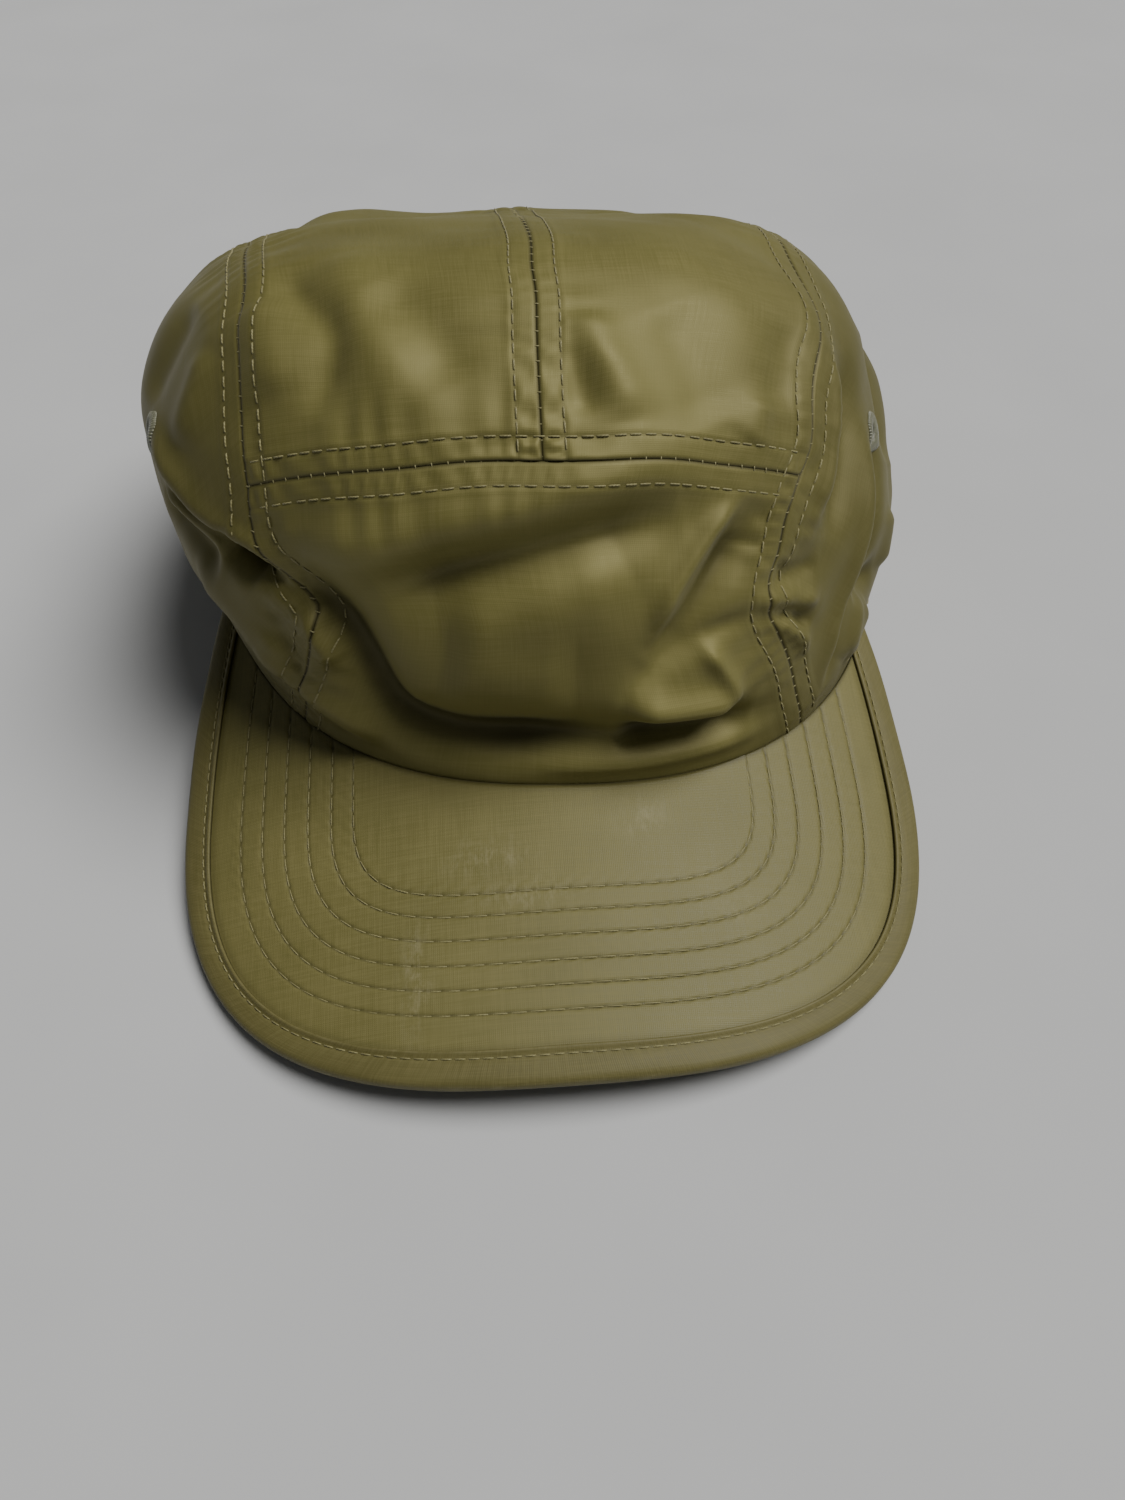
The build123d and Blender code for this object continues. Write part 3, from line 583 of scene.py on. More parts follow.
def beside(name, offset, trim=(0, 0)):
    """A line offset mm to one side of a seam, on the form, and the form's normals."""
    line = SEAMS[name]
    _, n = land(line)
    side = unit(np.cross(unit(np.gradient(line, axis=0)), n))
    for _ in range(4):
        side[1:-1] = (side[:-2] + side[1:-1] * 2 + side[2:]) / 4
    arc = arc_of(line)
    inside = (arc >= trim[0]) & (arc <= arc[-1] - trim[1])
    return (line + unit(side) * offset)[inside]


def crown_stitches(line, seams, lift):
    """Stitches that lie on the cloth along a line of the form."""
    ends = []
    for share in spaced(line, STITCH, STITCH_GAP):
        p, n = land(at_shares(line, share))
        seam, _ = seam_relief(p, seams)
        ends.append(p + n * (folds(p) + seam + lift)[:, None])
    _, n = land((ends[0] + ends[1]) / 2)
    return thread(*ends, n)


def ditch_ticks(name, pitch=3.1, reach=0.55):
    """The seam's own thread, seen across its ditch."""
    line = SEAMS[name]
    shares = np.linspace(0.004, 0.996, int(arc_of(line)[-1] / pitch))
    a, b = (land(at_shares(beside(name, s * reach), shares)) for s in (-1, 1))
    lift = folds(a[0])[:, None] - 0.08
    return thread(a[0] + a[1] * lift, b[0] + b[1] * lift, a[1], r=0.15, proud=0.08, dip=0.15)


def tube(name, rings, material, closed=False, shade=0.0, wear=0.0):
    """A closed piece swept through rings of points in metres, with capped ends unless it is a loop."""
    m, k = rings.shape[:2]
    i = np.arange(m * k).reshape(m, k)
    if closed:
        i = np.vstack([i, i[:1]])
    a, b = i[:-1], np.roll(i, -1, 1)[:-1]
    c, d = np.roll(i, -1, 1)[1:], i[1:]
    faces = np.stack([a, b, c, d], -1).reshape(-1, 4)
    p = rings.reshape(-1, 3)
    normal = np.cross(p[faces[:, 2]] - p[faces[:, 0]], p[faces[:, 3]] - p[faces[:, 1]])
    middle = rings.mean(1)[np.minimum(np.arange(len(faces)) // k, m - 1)]
    inside_out = (normal * (p[faces].mean(1) - middle)).sum() < 0
    faces = (faces[:, ::-1] if inside_out else faces).tolist()
    if not closed:
        ends = [list(i[0]), list(i[-1][::-1])]
        faces += ends if inside_out else [end[::-1] for end in ends]
    along, round_it = np.repeat(arc_of(rings.mean(1)), k), np.tile(arc_of(rings[0]), m)
    shade, wear = (np.zeros(m * k) + share for share in (shade, wear))
    return mesh_object(name, p, faces, material, np.stack([round_it, along], -1), shade=shade, wear=wear)


# ---------------------------------------------------------------- visor curves


def visor_curve(share, n=300, back=62.0, splay=0.0019):
    """(u, v) along the visor's outline drawn in: share 0 is its first stitch row and 1 is its edge."""
    w, d, v0, p = (a + (b - a) * share for a, b in zip(FIRST_ROW, EDGE))
    t = np.linspace(0, pi / 2, n)
    s = np.linspace(0, back, 80)[1:]
    u = np.concatenate([w * np.sin(t) ** (2 / p), w - splay * share * s ** 2])
    v = np.concatenate([v0 + (d - v0) * np.clip(np.cos(t), 0, 1) ** (2 / p), v0 - s])
    return np.stack([np.concatenate([-u[:0:-1], u]), np.concatenate([v[:0:-1], v])], -1)


def trimmed(curve, clear=0.0):
    """The part of a visor curve in front of the crown."""
    gap = curve[:, 1] - np.interp(curve[:, 0], HEEL[:, 0], HEEL[:, 1]) - clear
    mid = len(curve) // 2
    i = np.flatnonzero(gap[:mid] < 0).max()
    j = mid + np.flatnonzero(gap[mid:] < 0).min()
    first = curve[i] + (curve[i + 1] - curve[i]) * gap[i] / (gap[i] - gap[i + 1])
    last = curve[j] + (curve[j - 1] - curve[j]) * gap[j] / (gap[j] - gap[j - 1])
    return np.vstack([first, curve[i + 1:j], last])


def visor_up(u):
    return np.stack([np.sin(u / VISOR_CURVE), -sin(VISOR_DROOP) * np.cos(u / VISOR_CURVE),
                     cos(VISOR_DROOP) * np.cos(u / VISOR_CURVE)], -1)


BETWEEN_ROWS = np.array([0, .05, .1, .17, .28, .42, .58, .72, .83, .9, .95])
VISOR_SCALE = 44.0                               # mm of the visor's depth for a whole share
ROW_PULL, HOLE_PULL, PUFF = 0.17, 0.16, 0.05     # how far rows and needle holes pull the cloth in


def cover_shares(last):
    shares = []
    for a, b in zip(ROW_SHARES[:-1], ROW_SHARES[1:]):
        shares += list(a + (b - a) * BETWEEN_ROWS)
    end = ROW_SHARES[-1]
    near_end = end + np.array([0, .006, .013, .024, .04])
    return shares + list(near_end) + list(np.linspace(end + 0.06, last, 14))


def cover_grid(last, columns=430, inner=30, clear=0.0):
    """(u, v) grid of a visor layer, its rows along the stitch rows, and each point's share."""
    first = trimmed(visor_curve(0.0), clear)
    ends = (HEEL[:, 0] > first[0, 0]) & (HEEL[:, 0] < first[-1, 0])
    heel = np.vstack([first[:1], HEEL[ends] + [0, clear], first[-1:]])
    even = np.linspace(0, 1, columns)
    start, row = at_shares(heel, even), at_shares(first, even)
    steps = 1 - (1 - np.linspace(0, 1, inner, endpoint=False)) ** 1.25
    rows = [start + (row - start) * w for w in steps]
    shares = list((steps - 1) * 0.55)
    for share in cover_shares(last):
        rows.append(at_shares(trimmed(visor_curve(share), clear), even))
        shares.append(share)
    return np.array(rows), np.array(shares)


def cover_relief(uv, shares):
    """Height and painted shade of a visor cover: stitch rows pull it in, and it puffs up between them."""
    arc = np.stack([arc_of(row) for row in uv])
    h = 0.16 * np.sin(uv[..., 0] / 17 + 0.6) * np.sin(uv[..., 1] / 13 + 1.1)
    dark = np.zeros(h.shape)
    for i, row in enumerate(ROW_SHARES):
        d = np.abs(shares - row)[:, None] * VISOR_SCALE
        phase = (arc / VISOR_STITCH + 0.37 * i) % 1
        hole = np.exp(-((np.minimum(phase, 1 - phase) * VISOR_STITCH) / 0.5) ** 2)
        h -= ROW_PULL * np.exp(-(d / 0.45) ** 2) + HOLE_PULL * hole * np.exp(-(d / 0.5) ** 2)
        uneven = 0.6 + 0.4 * np.sin(arc / 23 + i)
        h += PUFF * np.sin(2 * pi * phase) * np.exp(-((d - 1.2) / 1.5) ** 2) * uneven
        # painted shade along each stitch row, deepest in its needle holes
        dark = np.maximum(dark, (0.42 + 0.4 * hole) * np.exp(-(d / 0.33) ** 2))
    # painted shade along the heel, where the crown meets the visor
    heel = np.abs(uv[..., 1] - np.interp(uv[..., 0], HEEL[:, 0], HEEL[:, 1]))
    dark = np.maximum(dark, 0.7 * np.exp(-(heel / 1.0) ** 2))
    ridge = (shares[:, None] - RIDGE_SHARE) * VISOR_SCALE
    # painted shade in the ditch just inside the edge ridge
    dark = np.maximum(dark, 0.75 * np.exp(-((ridge + 0.15) / 0.4) ** 2))
    return h - 0.25 * np.exp(-(ridge / 0.8) ** 2), dark


def scuffs(uv):
    """Pale rubbed places on the visor, where the cloth has been scraped."""
    wear = np.zeros(uv.shape[:2])
    for centre, half in (((-15, 16), (9, 4)), ((-7, 26), (10, 4)), ((20, 9), (6, 5)), ((-32, 42), (3, 12)),
                         ((40, 30), (5, 3))):
        wear = np.maximum(wear, np.exp(-(((uv - centre) / half) ** 2).sum(-1)))
    return wear


def visor_layer(name, last, top, bottom, material, *place, stitched="", clear=0.0, columns=430, wear=False):
    """A layer from top to bottom mm under the visor's face. stitched is the side that is sewn: top or under."""
    uv, shares = cover_grid(last, columns, clear=clear)
    u, v = uv[..., 0], uv[..., 1]
    h, dark = cover_relief(uv, shares) if stitched else (0 * u, 0 * u)
    outer, inner = (bottom + h, top + 0 * h) if stitched == "under" else (top - h, bottom + 0 * h)
    o = shell(name, visor(u, v, outer), visor(u, v, inner), material, uv=uv / 1000, shade=dark,
              wear=scuffs(uv) if wear else 0.0)
    return finished(o, *place)


def row_stitches(share, down, sign=1, stitch=VISOR_STITCH, gap=0.35, **how):
    """One row of stitches round the visor, on its top (sign 1) or underneath (-1)."""
    line = trimmed(visor_curve(share), 0.8)
    arc = arc_of(line)[-1]
    count = int(arc / stitch)
    phase = 0.37 * ROW_SHARES.index(share) if share in ROW_SHARES else 0
    edges = (np.arange(count + 1) - phase % 1) * stitch
    a, b = edges[:-1] + gap / 2, edges[1:] - gap / 2
    inside = (a > 0) & (b < arc)
    start, end = at_shares(line, a[inside] / arc), at_shares(line, b[inside] / arc)
    up = visor_up((start[:, 0] + end[:, 0]) / 2) * sign
    start, end = (visor(p[:, 0], p[:, 1], down) * 1000 for p in (start, end))
    return thread(start, end, up, **how)


# section of the edge tape as (share, height over the visor's top face), round it once
EDGE_SECTION = [(.822, .02), (.8205, .4), (.8225, .75), (.829, .92), (.838, .84), (.847, .62), (.856, .45),
                (.862, .4), (.869, .48), (.882, .6), (.905, .64), (.935, .62), (.96, .55), (.978, .36),
                (.99, .0), (.997, -.5), (1.0, -1.2), (.997, -1.9), (.99, -2.35), (.978, -2.7), (.96, -2.85),
                (.92, -2.88), (.88, -2.85), (.862, -2.72), (.845, -2.86), (.826, -2.86), (.822, -2.45),
                (.86, -2.42), (.93, -2.42), (.984, -2.4), (.986, -.02), (.93, .0), (.86, .0)]
# places on the section that have painted shade, in its gap and under its stitches, and that are rubbed, on its
# corners
EDGE_PAINTED_SHADE = {0: 0.75, 1: 0.75, 26: 0.75, 7: 0.25, 23: 0.25}
EDGE_RUB = {3: 0.55, 15: 0.55, 16: 0.55, 17: 0.55, 2: 0.15, 4: 0.15, 14: 0.15, 18: 0.15}


def edge_tape():
    """The folded tape sewn round the visor's edge."""
    columns = 460
    even = np.linspace(0, 1, columns)
    rings = []
    for share, height in EDGE_SECTION:
        line = at_shares(trimmed(visor_curve(share)), even)
        arc = arc_of(line)
        pull = 0.07 * np.sin(2 * pi * arc / EDGE_STITCH + np.sin(arc / 9))
        pull *= np.exp(-((share - EDGE_ROW_SHARE) / 0.02) ** 2)
        slack = 0.10 * np.sin(arc / 6.3 + 1.2 * np.sin(arc / 31)) * (share > 0.9)
        rings.append(visor(line[:, 0], line[:, 1], -(height + (pull + slack) * np.sign(height + 1.2))))
    # painted shade in the tape's gap and under its stitches; rubbed wear on its corners
    dark, rub = ([table.get(k, 0) for k in range(len(EDGE_SECTION))] for table in (EDGE_PAINTED_SHADE, EDGE_RUB))
    o = tube("visor_edge_tape_cloth", np.stack(rings, 1), EDGE_CLOTH,
             shade=np.tile(dark, columns), wear=np.tile(rub, columns))
    return finished(o, "tape", "visor_edge_band")


# ---------------------------------------------------------------- lines round the head opening


def level(z, a):
    """The crown's form at one height over the rim."""
    s = np.linspace(0.2, 5.5, 200)
    grid = crown(a[:, None] + 0 * s, s + 0 * a[:, None])
    return np.array([[np.interp(z, row[:, 2], row[:, k]) for k in range(3)] for row in grid])


def lower_edge():
    """The crown's lower edge, from the middle of the back round by +X."""
    a = pi / 2 - np.linspace(0, 2 * pi, 721)
    s = np.linspace(0.05, 5.5, 220)
    grid = crown(a[:, None] + 0 * s, s + 0 * a[:, None])
    over = grid[..., 2] - edge_height(np.arctan2(grid[..., 1], grid[..., 0]))
    return np.array([[np.interp(0, f, row[:, k]) for k in range(3)] for f, row in zip(over, grid)])


RIM = lower_edge()


def between(line, p, q):
    """The part of a line from the place nearest p to the one nearest q."""
    _, ends = near(np.array([p, q], float), line)
    arc = arc_of(line)
    return at_shares(line, np.linspace(ends[0], ends[1], max(20, int(abs(ends[1] - ends[0])))) / arc[-1])


def arch_points(grow=0.0, step=1.5):
    """(x, z) round the rear opening, from its -X foot to its +X foot."""
    r = ARCH_R + grow
    t = np.linspace(-pi / 2, pi / 2, int(pi * r / step))
    leg = np.linspace(0, ARCH_UP, 5)[:-1]
    return np.array([*((-r, z) for z in leg), *zip(r * np.sin(t), ARCH_UP + r * np.cos(t)),
                     *((r, z) for z in leg[::-1])])


def foot(name):
    """Where a side seam meets the lower edge: at the front and at the back."""
    line, ends = SEAMS[name], []
    for part in (line[:16], line[:-12:-1]):
        fine = at_shares(part, np.linspace(0, 1, 300))
        ends.append(fine[near(fine, RIM)[0].argmin()])
    return ends


# ---------------------------------------------------------------- the cap's pieces


def make_panels():
    right, left, cross, centre = (SEAMS[n] for n in ("right", "left", "cross", "centre"))
    (rf, rb), (lf, lb) = foot("right"), foot("left")
    arch, _ = to_back(arch_points())
    top = arch[len(arch) // 2]
    centre = np.vstack([centre[:-1], top])

    def front():
        v = graded(72, 1.0)
        return patch(between(RIM, rf, lf), cross, between(right, rf, cross[0]), between(left, lf, cross[-1]),
                     graded(118, 1.0), v)

    def top_side(seam, far, start, leg, back):
        rim_bit = between(RIM, leg, back)
        outer_end = np.vstack([between(arch, top, leg)[:-1], rim_bit])
        half = between(cross, cross[-1] if far > 0 else cross[0], centre[0])[::-1]
        return patch(half, outer_end, between(centre, centre[0], top), between(seam, start, back),
                     graded(62, 1.1), graded(215, 1.25))

    def side(seam, front_foot, back_foot):
        t, w = np.linspace(0, 1, 230), graded(104, 1.1)
        low, high = (at_shares(between(line, front_foot, back_foot), t) for line in (RIM, seam))
        return low[None] + (high - low)[None] * w[:, None, None]

    def eyelet_holes(grid):
        middle = (grid[:-1, :-1] + grid[1:, 1:]) / 2
        keep = np.ones(middle.shape[:2], bool)
        for p in EYELETS:
            keep &= np.linalg.norm(middle - land(np.array([p], float))[0][0], axis=-1) > EYELET_HOLE + 1.3
        return keep

    panel("front_panel_cloth", front(), ["right", "left", "cross"], "front_panel")
    panel("top_left_cloth", top_side(left, 1, cross[-1], arch[-1], lb), ["left", "cross", "centre"],
          "top_left_panel")
    panel("top_right_cloth", top_side(right, -1, cross[0], arch[0], rb), ["right", "cross", "centre"],
          "top_right_panel")
    panel("left_side_cloth", side(left, lf, lb), ["left"],
          "left_side_panel", eyelet_holes)
    panel("right_side_cloth", side(right, rf, rb), ["right"],
          "right_side_panel", eyelet_holes)


def make_seam_stitches():
    arch_trim, cross_trim = 4.0, 0.8
    for name, seams, trim in (("left", ["left"], (2, 2)), ("right", ["right"], (2, 2)),
                              ("cross", ["cross"], (cross_trim, cross_trim)),
                              ("centre", ["centre", "cross"], (1, arch_trim))):
        runs = [crown_stitches(beside(name, side * SEAM_ROW, trim), seams, lift=0.06) for side in (-1, 1)]
        runs.append(ditch_ticks(name))
        thread_piece(f"{name}_seam_topstitch", runs)


LOWER_ROW = 2.6                                   # height of the row over the rim
LOWER_END = np.array([49.5, 100, LOWER_ROW])      # where it stops, beside the rear opening


def make_lower_stitch():
    """The row that holds the sweatband to the crown's lower edge, outside."""
    (rf, _), (lf, _) = foot("right"), foot("left")
    low = level(LOWER_ROW, pi / 2 - np.linspace(0, 2 * pi, 721))
    runs = [crown_stitches(between(low, LOWER_END, lf + [18, 14, 2]), ["left"], lift=0.05),
            crown_stitches(between(low, rf + [-14, 14, 2], LOWER_END * [-1, 1, 1]), ["right"], lift=0.05)]
    thread_piece("lower_edge_topstitch", runs)


TAPE_CLEAR, TAPE_BOW = 0.2, 0.12      # the tapes' gap behind the seams, and how much they bow


def make_tapes():
    offsets = np.linspace(-TAPE_HALF, TAPE_HALF, 9)
    for name, trim in (("left", (4, 4)), ("right", (4, 4)), ("cross", (7, 7)), ("centre", (7, 8))):
        grid = np.stack([beside(name, o, trim) for o in offsets])
        flat, n = land(grid.reshape(-1, 3))
        lift = folds(flat) + TAPE_BOW * np.cos(np.repeat(offsets, grid.shape[1]) / TAPE_HALF * pi)
        lift -= TAPE_DEPTH + TAPE_CLEAR
        faces = (to_world(flat + n * (lift - d)[:, None]).reshape(grid.shape) for d in (0, TAPE))
        node = f"{name}_seam_tape"
        finished(shell(f"{node}_twill", *faces, TAPE_CLOTH), "tape", node)


def band_angles(x_end, count):
    """Angles round the inside, from one end of the rear opening round the front to the other."""
    a = np.linspace(pi / 2, -3 * pi / 2, 2001)
    x = level(10.0, a)[:, 0]
    keep = a[(np.abs(x) > x_end) | (a < 0) & (a > -pi)]
    return np.linspace(keep[0], keep[-1], count)


def inner_layer(angles, heights, depth, ripple=0.0):
    """A grid inside the crown: rows at heights over the rim, at a depth under the cloth's face."""
    rows = []
    for z in heights:
        p, n = land(level(z, angles))
        give = np.minimum(folds(p), 0)
        wave = ripple * np.sin(angles * 37 + z / 6) * smooth(8, 30, z)
        rows.append(p + n * (give - depth + wave)[:, None])
    return np.array(rows)


BAND_RIPPLE, BAND_CLEAR = 0.35, 0.05      # the sweatband's waves, and its stitches' gap from it


def band_piece(name, angles, heights, depth, thick, material, slot, node, ripple=0.0):
    faces = (to_world(inner_layer(angles, heights, d, ripple)) for d in (depth, depth + thick))
    return finished(shell(name, *faces, material), slot, node)


def make_inside():
    """The sweatband, the felt behind its front, the blank labels and the band's stitches."""
    rows = [0.5, 0.9, 1.6, *np.linspace(2.6, BAND_HEIGHT - 2, 14), BAND_HEIGHT - 1.1, BAND_HEIGHT - 0.3]
    round_it = band_angles(ARCH_R + 1, 420)
    band = band_piece("sweatband_twill", round_it, rows, BAND_DEPTH, BAND, BAND_CLOTH, "band", "sweatband",
                      BAND_RIPPLE)
    short = np.linspace(-pi - 0.25, 0.25, 260)
    band_piece("backing_felt", short, np.linspace(2, BAND_HEIGHT - 2, 16), BACKING_DEPTH, BACKING, FELT,
               "backing", "sweatband_backing")
    inside = BAND_DEPTH + BAND
    for node, high, a0, a1 in (("care_label", 42, 0.10, 0.345), ("size_label", 20, -0.14, 0.0)):
        across, up = np.linspace(a0, a1, 22), np.linspace(8, high, 26)
        curl = 0.9 * smooth(24, 42, up)[:, None, None]
        grids = (inner_layer(across, up, inside + d) for d in (0.55, 0.85))
        faces = (to_world(grid + curl * unit(-grid * [1, 1, 0])) for grid in grids)
        finished(shell(f"{node}_satin", *faces, LABEL_CLOTH), "label", node)
    runs = []
    for z, stitch, gap in ((3.0, 2.6, 0.8), (BAND_HEIGHT - 2.4, 2.2, 0.9)):
        line = inner_layer(round_it, [z], inside + BAND_CLEAR, BAND_RIPPLE)[0]
        start, end = (at_shares(line, shares) for shares in spaced(line, stitch, gap))
        runs.append(thread(start, end, unit((HEART - (start + end) / 2) * [1, 1, 0]), proud=0.14, dip=0.2))
    thread_piece("sweatband_topstitch", runs)


# section of an eyelet's embroidery as (distance from its middle, height over the cloth)
EYELET_SECTION = [(5.0, -.15), (4.9, .3), (4.4, .62), (3.7, .78), (2.9, .74), (2.2, .5), (1.75, .05),
                  (1.7, -.5), (1.85, -1.15), (2.6, -1.5), (4.0, -1.5), (4.9, -1.2)]
SPOKES, EYELET_STEPS = 44, 264


def make_eyelets():
    angles = np.linspace(0, 2 * pi, EYELET_STEPS, endpoint=False)
    strands = np.abs(np.sin(angles * SPOKES / 2))
    for index, place in enumerate(EYELETS):
        centre, n = (x[0] for x in land(np.array([place], float)))
        t1 = unit(np.cross(n, [0, 0, 1.0]))
        t2 = np.cross(n, t1)
        rings, dark = [], []
        for r, h in EYELET_SECTION:
            wobble = r + (0.12 * np.sin(angles * SPOKES + r) + 0.15 * np.sin(angles * 7 + index)) * (r > 4.8)
            flat = centre + wobble[:, None] * (t1 * np.cos(angles)[:, None] + t2 * np.sin(angles)[:, None])
            p, pn = land(flat)
            rings.append(p + pn * (folds(p) + h + (0.10 * strands - 0.05) * (h > 0.2))[:, None])
            # painted shade between the strands and down in the hole
            dark.append(0.5 * (1 - strands) ** 2 * (h > -0.2) + 0.5 * (r < 1.8))
        o = tube(f"eyelet_{index + 1}_embroidery", to_world(np.stack(rings, 1)), EYELET_THREAD, closed=True,
                 shade=np.stack(dark, 1).ravel())
        finished(o, "thread", *(["eyelets"] if index == 0 else []))


# section of the arch's binding as (distance from the opening's edge, height over the cloth), round it once
ARCH_SECTION = [(7.0, .12), (7.1, .5), (6.7, .72), (5.2, .66), (3.0, .62), (1.0, .7), (0.2, .55), (-.45, .1),
                (-.6, -.4), (-.5, -1.0), (0.2, -1.4), (2.5, -1.5), (6.6, -1.5), (7.0, -1.3), (6.8, -1.05),
                (3.0, -1.0), (.4, -.95), (.25, -.1), (.6, .1), (4.0, .12)]
ARCH_THREAD, ARCH_PULLS = 0.72, 62      # height of its stitches, and how many puckers go round it


def make_arch():
    """The folded binding round the rear opening, and its row of stitches."""
    along = np.linspace(0, 1, 190)
    rings = []
    for grow, h in ARCH_SECTION:
        p, n = to_back(at_shares(arch_points(grow, 1.0), along))
        pull = 0.08 * np.sin(along * 2 * pi * ARCH_PULLS) * np.sign(h)
        pull *= np.exp(-((grow - ARCH_ROW) / 1.2) ** 2)
        rings.append(p + n * (folds(p) * ARCH_FOLDS + h + pull)[:, None])
    finished(tube("arch_binding_cloth", to_world(np.stack(rings, 1)), TAPE_CLOTH), "tape", "arch_binding")
    row = arch_points(ARCH_ROW)
    line, _ = to_back(at_shares(row, np.linspace(0, 1, 150)))
    ends = []
    for shares in spaced(line, 2.4, 0.7):
        p, n = to_back(at_shares(row, shares))
        ends.append(p + n * (folds(p) * ARCH_FOLDS + ARCH_THREAD)[:, None])
    thread_piece("arch_binding_topstitch", [thread(*ends, n)])


def on_arc(deg, out=0.0):
    a = np.radians(deg)
    return np.stack([(STRAP_R + out) * np.sin(a), STRAP_C + (STRAP_R + out) * np.cos(a)], -1)


RIB_PITCH = 1.15


def webbing(name, path, thick, node, relief=0.07):
    """Ribbed webbing of STRAP_W whose middle follows path, (x, y) in the plane of the rim."""
    fine = at_shares(path, np.linspace(0, 1, int(arc_of(path)[-1] / 0.26)))
    along = arc_of(fine)
    sideways = unit(np.gradient(fine, axis=0))[:, ::-1] * [-1, 1]
    half, t = STRAP_W / 2, thick / 2
    face = [(-half, 0), (-half + 0.12, t * 0.75), (-half + 0.6, t)]
    face += [(z, t) for z in np.linspace(-half + 2, half - 2, 9)] + [(half - 0.6, t), (half - 0.12, t * 0.75)]
    rings = []
    for z, h in face + [(-z, -h) for z, h in face]:
        slant = z * 1.9 if abs(z) < half - 1.4 else 0
        rib = relief * np.sin(along * 2 * pi / RIB_PITCH + slant) * (1 if h > 0 else -1)
        xy = fine + sideways * (h + rib * (abs(h) > t * 0.9))[:, None]
        rings.append(np.column_stack([xy, np.full(len(xy), STRAP_Z + z)]))
    return finished(tube(name, to_world(np.stack(rings, 1)), WEBBING), "webbing", node)


TAB_PLY = 0.5                        # how far each ply of the tab lies from its middle
TAB_ENDS = (29.2, 27.5, 25.8)        # degrees at which both plies lie on the strap's line
DEGREE = 1.68                        # mm along the strap
# boxes of stitches on the strap: first and last degree, height, and whether a line crosses the box
BOXES = ((-28.4, -24.6, STRAP_T / 2, True), (26.0, 28.6, TAB_PLY + 0.4, False))


def make_strap():
    degrees = np.linspace(STRAP_FROM + 0.4, STRAP_TO, 120)
    x = STRAP_R * np.radians(degrees - BUCKLE_AT)
    dip = -TUCK_DEPTH * smooth(TUCK_FROM, TUCK_FROM + TUCK_RUN, x)
    webbing("strap_webbing", on_arc(degrees, dip), STRAP_T, "strap")
    b = radians(BUCKLE_AT)
    out, run = np.array([sin(b), cos(b)]), np.array([cos(b), -sin(b)])
    bar = on_arc(BUCKLE_AT) + run * BAR_X
    inner = [on_arc(d, -TAB_PLY) for d in TAB_ENDS] + [on_arc(24.4, -TAB_PLY * 1.3)]
    turn = [bar + (BAR_R + TAB_PLY) * (run * -sin(t) + out * -cos(t)) for t in np.linspace(0.1, pi - 0.1, 11)]
    outer = [on_arc(24.4, TAB_PLY * 1.3)] + [on_arc(d, TAB_PLY) for d in TAB_ENDS[::-1]]
    webbing("tab_webbing", smooth_line(np.array(inner + turn + outer), 0.3), 0.8, "buckle_tab", relief=0.04)
    runs = []
    for low, high, height, cross in BOXES:
        z0, z1 = STRAP_Z - STRAP_W / 2 + 2, STRAP_Z + STRAP_W / 2 - 2
        corners = [(low, z0), (high, z0), (high, z1), (low, z1), (low, z0)] + ([(high, z1)] if cross else [])
        for (d0, a0), (d1, a1) in zip(corners[:-1], corners[1:]):
            share = np.linspace(0, 1, max(2, int(np.hypot((d1 - d0) * DEGREE, a1 - a0) / 0.3)))
            line = np.column_stack([on_arc(d0 + (d1 - d0) * share, height + 0.08), a0 + (a1 - a0) * share])
            start, end = (at_shares(line, shares) for shares in spaced(line, 1.9, 0.5))
            up = np.column_stack([unit(((start + end) / 2)[:, :2] - [0, STRAP_C]), np.zeros(len(start))])
            runs.append(thread(start, end, up))
    thread_piece("strap_topstitch", runs)


COVER_TO, BOARD_TO = 0.982, 0.975      # shares of the visor's depth that its covers and its board reach


def make_visor():
    for side, top, bottom in (("top", 0.0, 0.4), ("under", 2.02, 2.4)):
        cloth = visor_layer(f"visor_{side}_cloth", COVER_TO, top, bottom, VISOR_CLOTH, "shell",
                            f"visor_{side}_cover", stitched=side, wear=side == "top")
    visor_layer("visor_core_board", BOARD_TO, 0.62, 1.85, BOARD_PLASTIC, "board", "visor_board", clear=1.0,
                columns=180)
    edge_tape()
    runs = [row_stitches(share, down, sign, r=0.15, proud=0.16, dip=0.3)
            for down, sign in ((0.28, 1), (2.14, -1)) for share in ROW_SHARES]
    thread_piece("visor_row_topstitch", runs, frame_of=lambda p: p / 1000)
    runs = [row_stitches(EDGE_ROW_SHARE, down, sign, stitch=EDGE_STITCH, gap=0.5, r=0.16, proud=proud)
            for down, sign, proud in ((-0.42, 1, 0.2), (2.74, -1, 0.15))]
    thread_piece("visor_edge_topstitch", runs, frame_of=lambda p: p / 1000)


# ---------------------------------------------------------------- materials


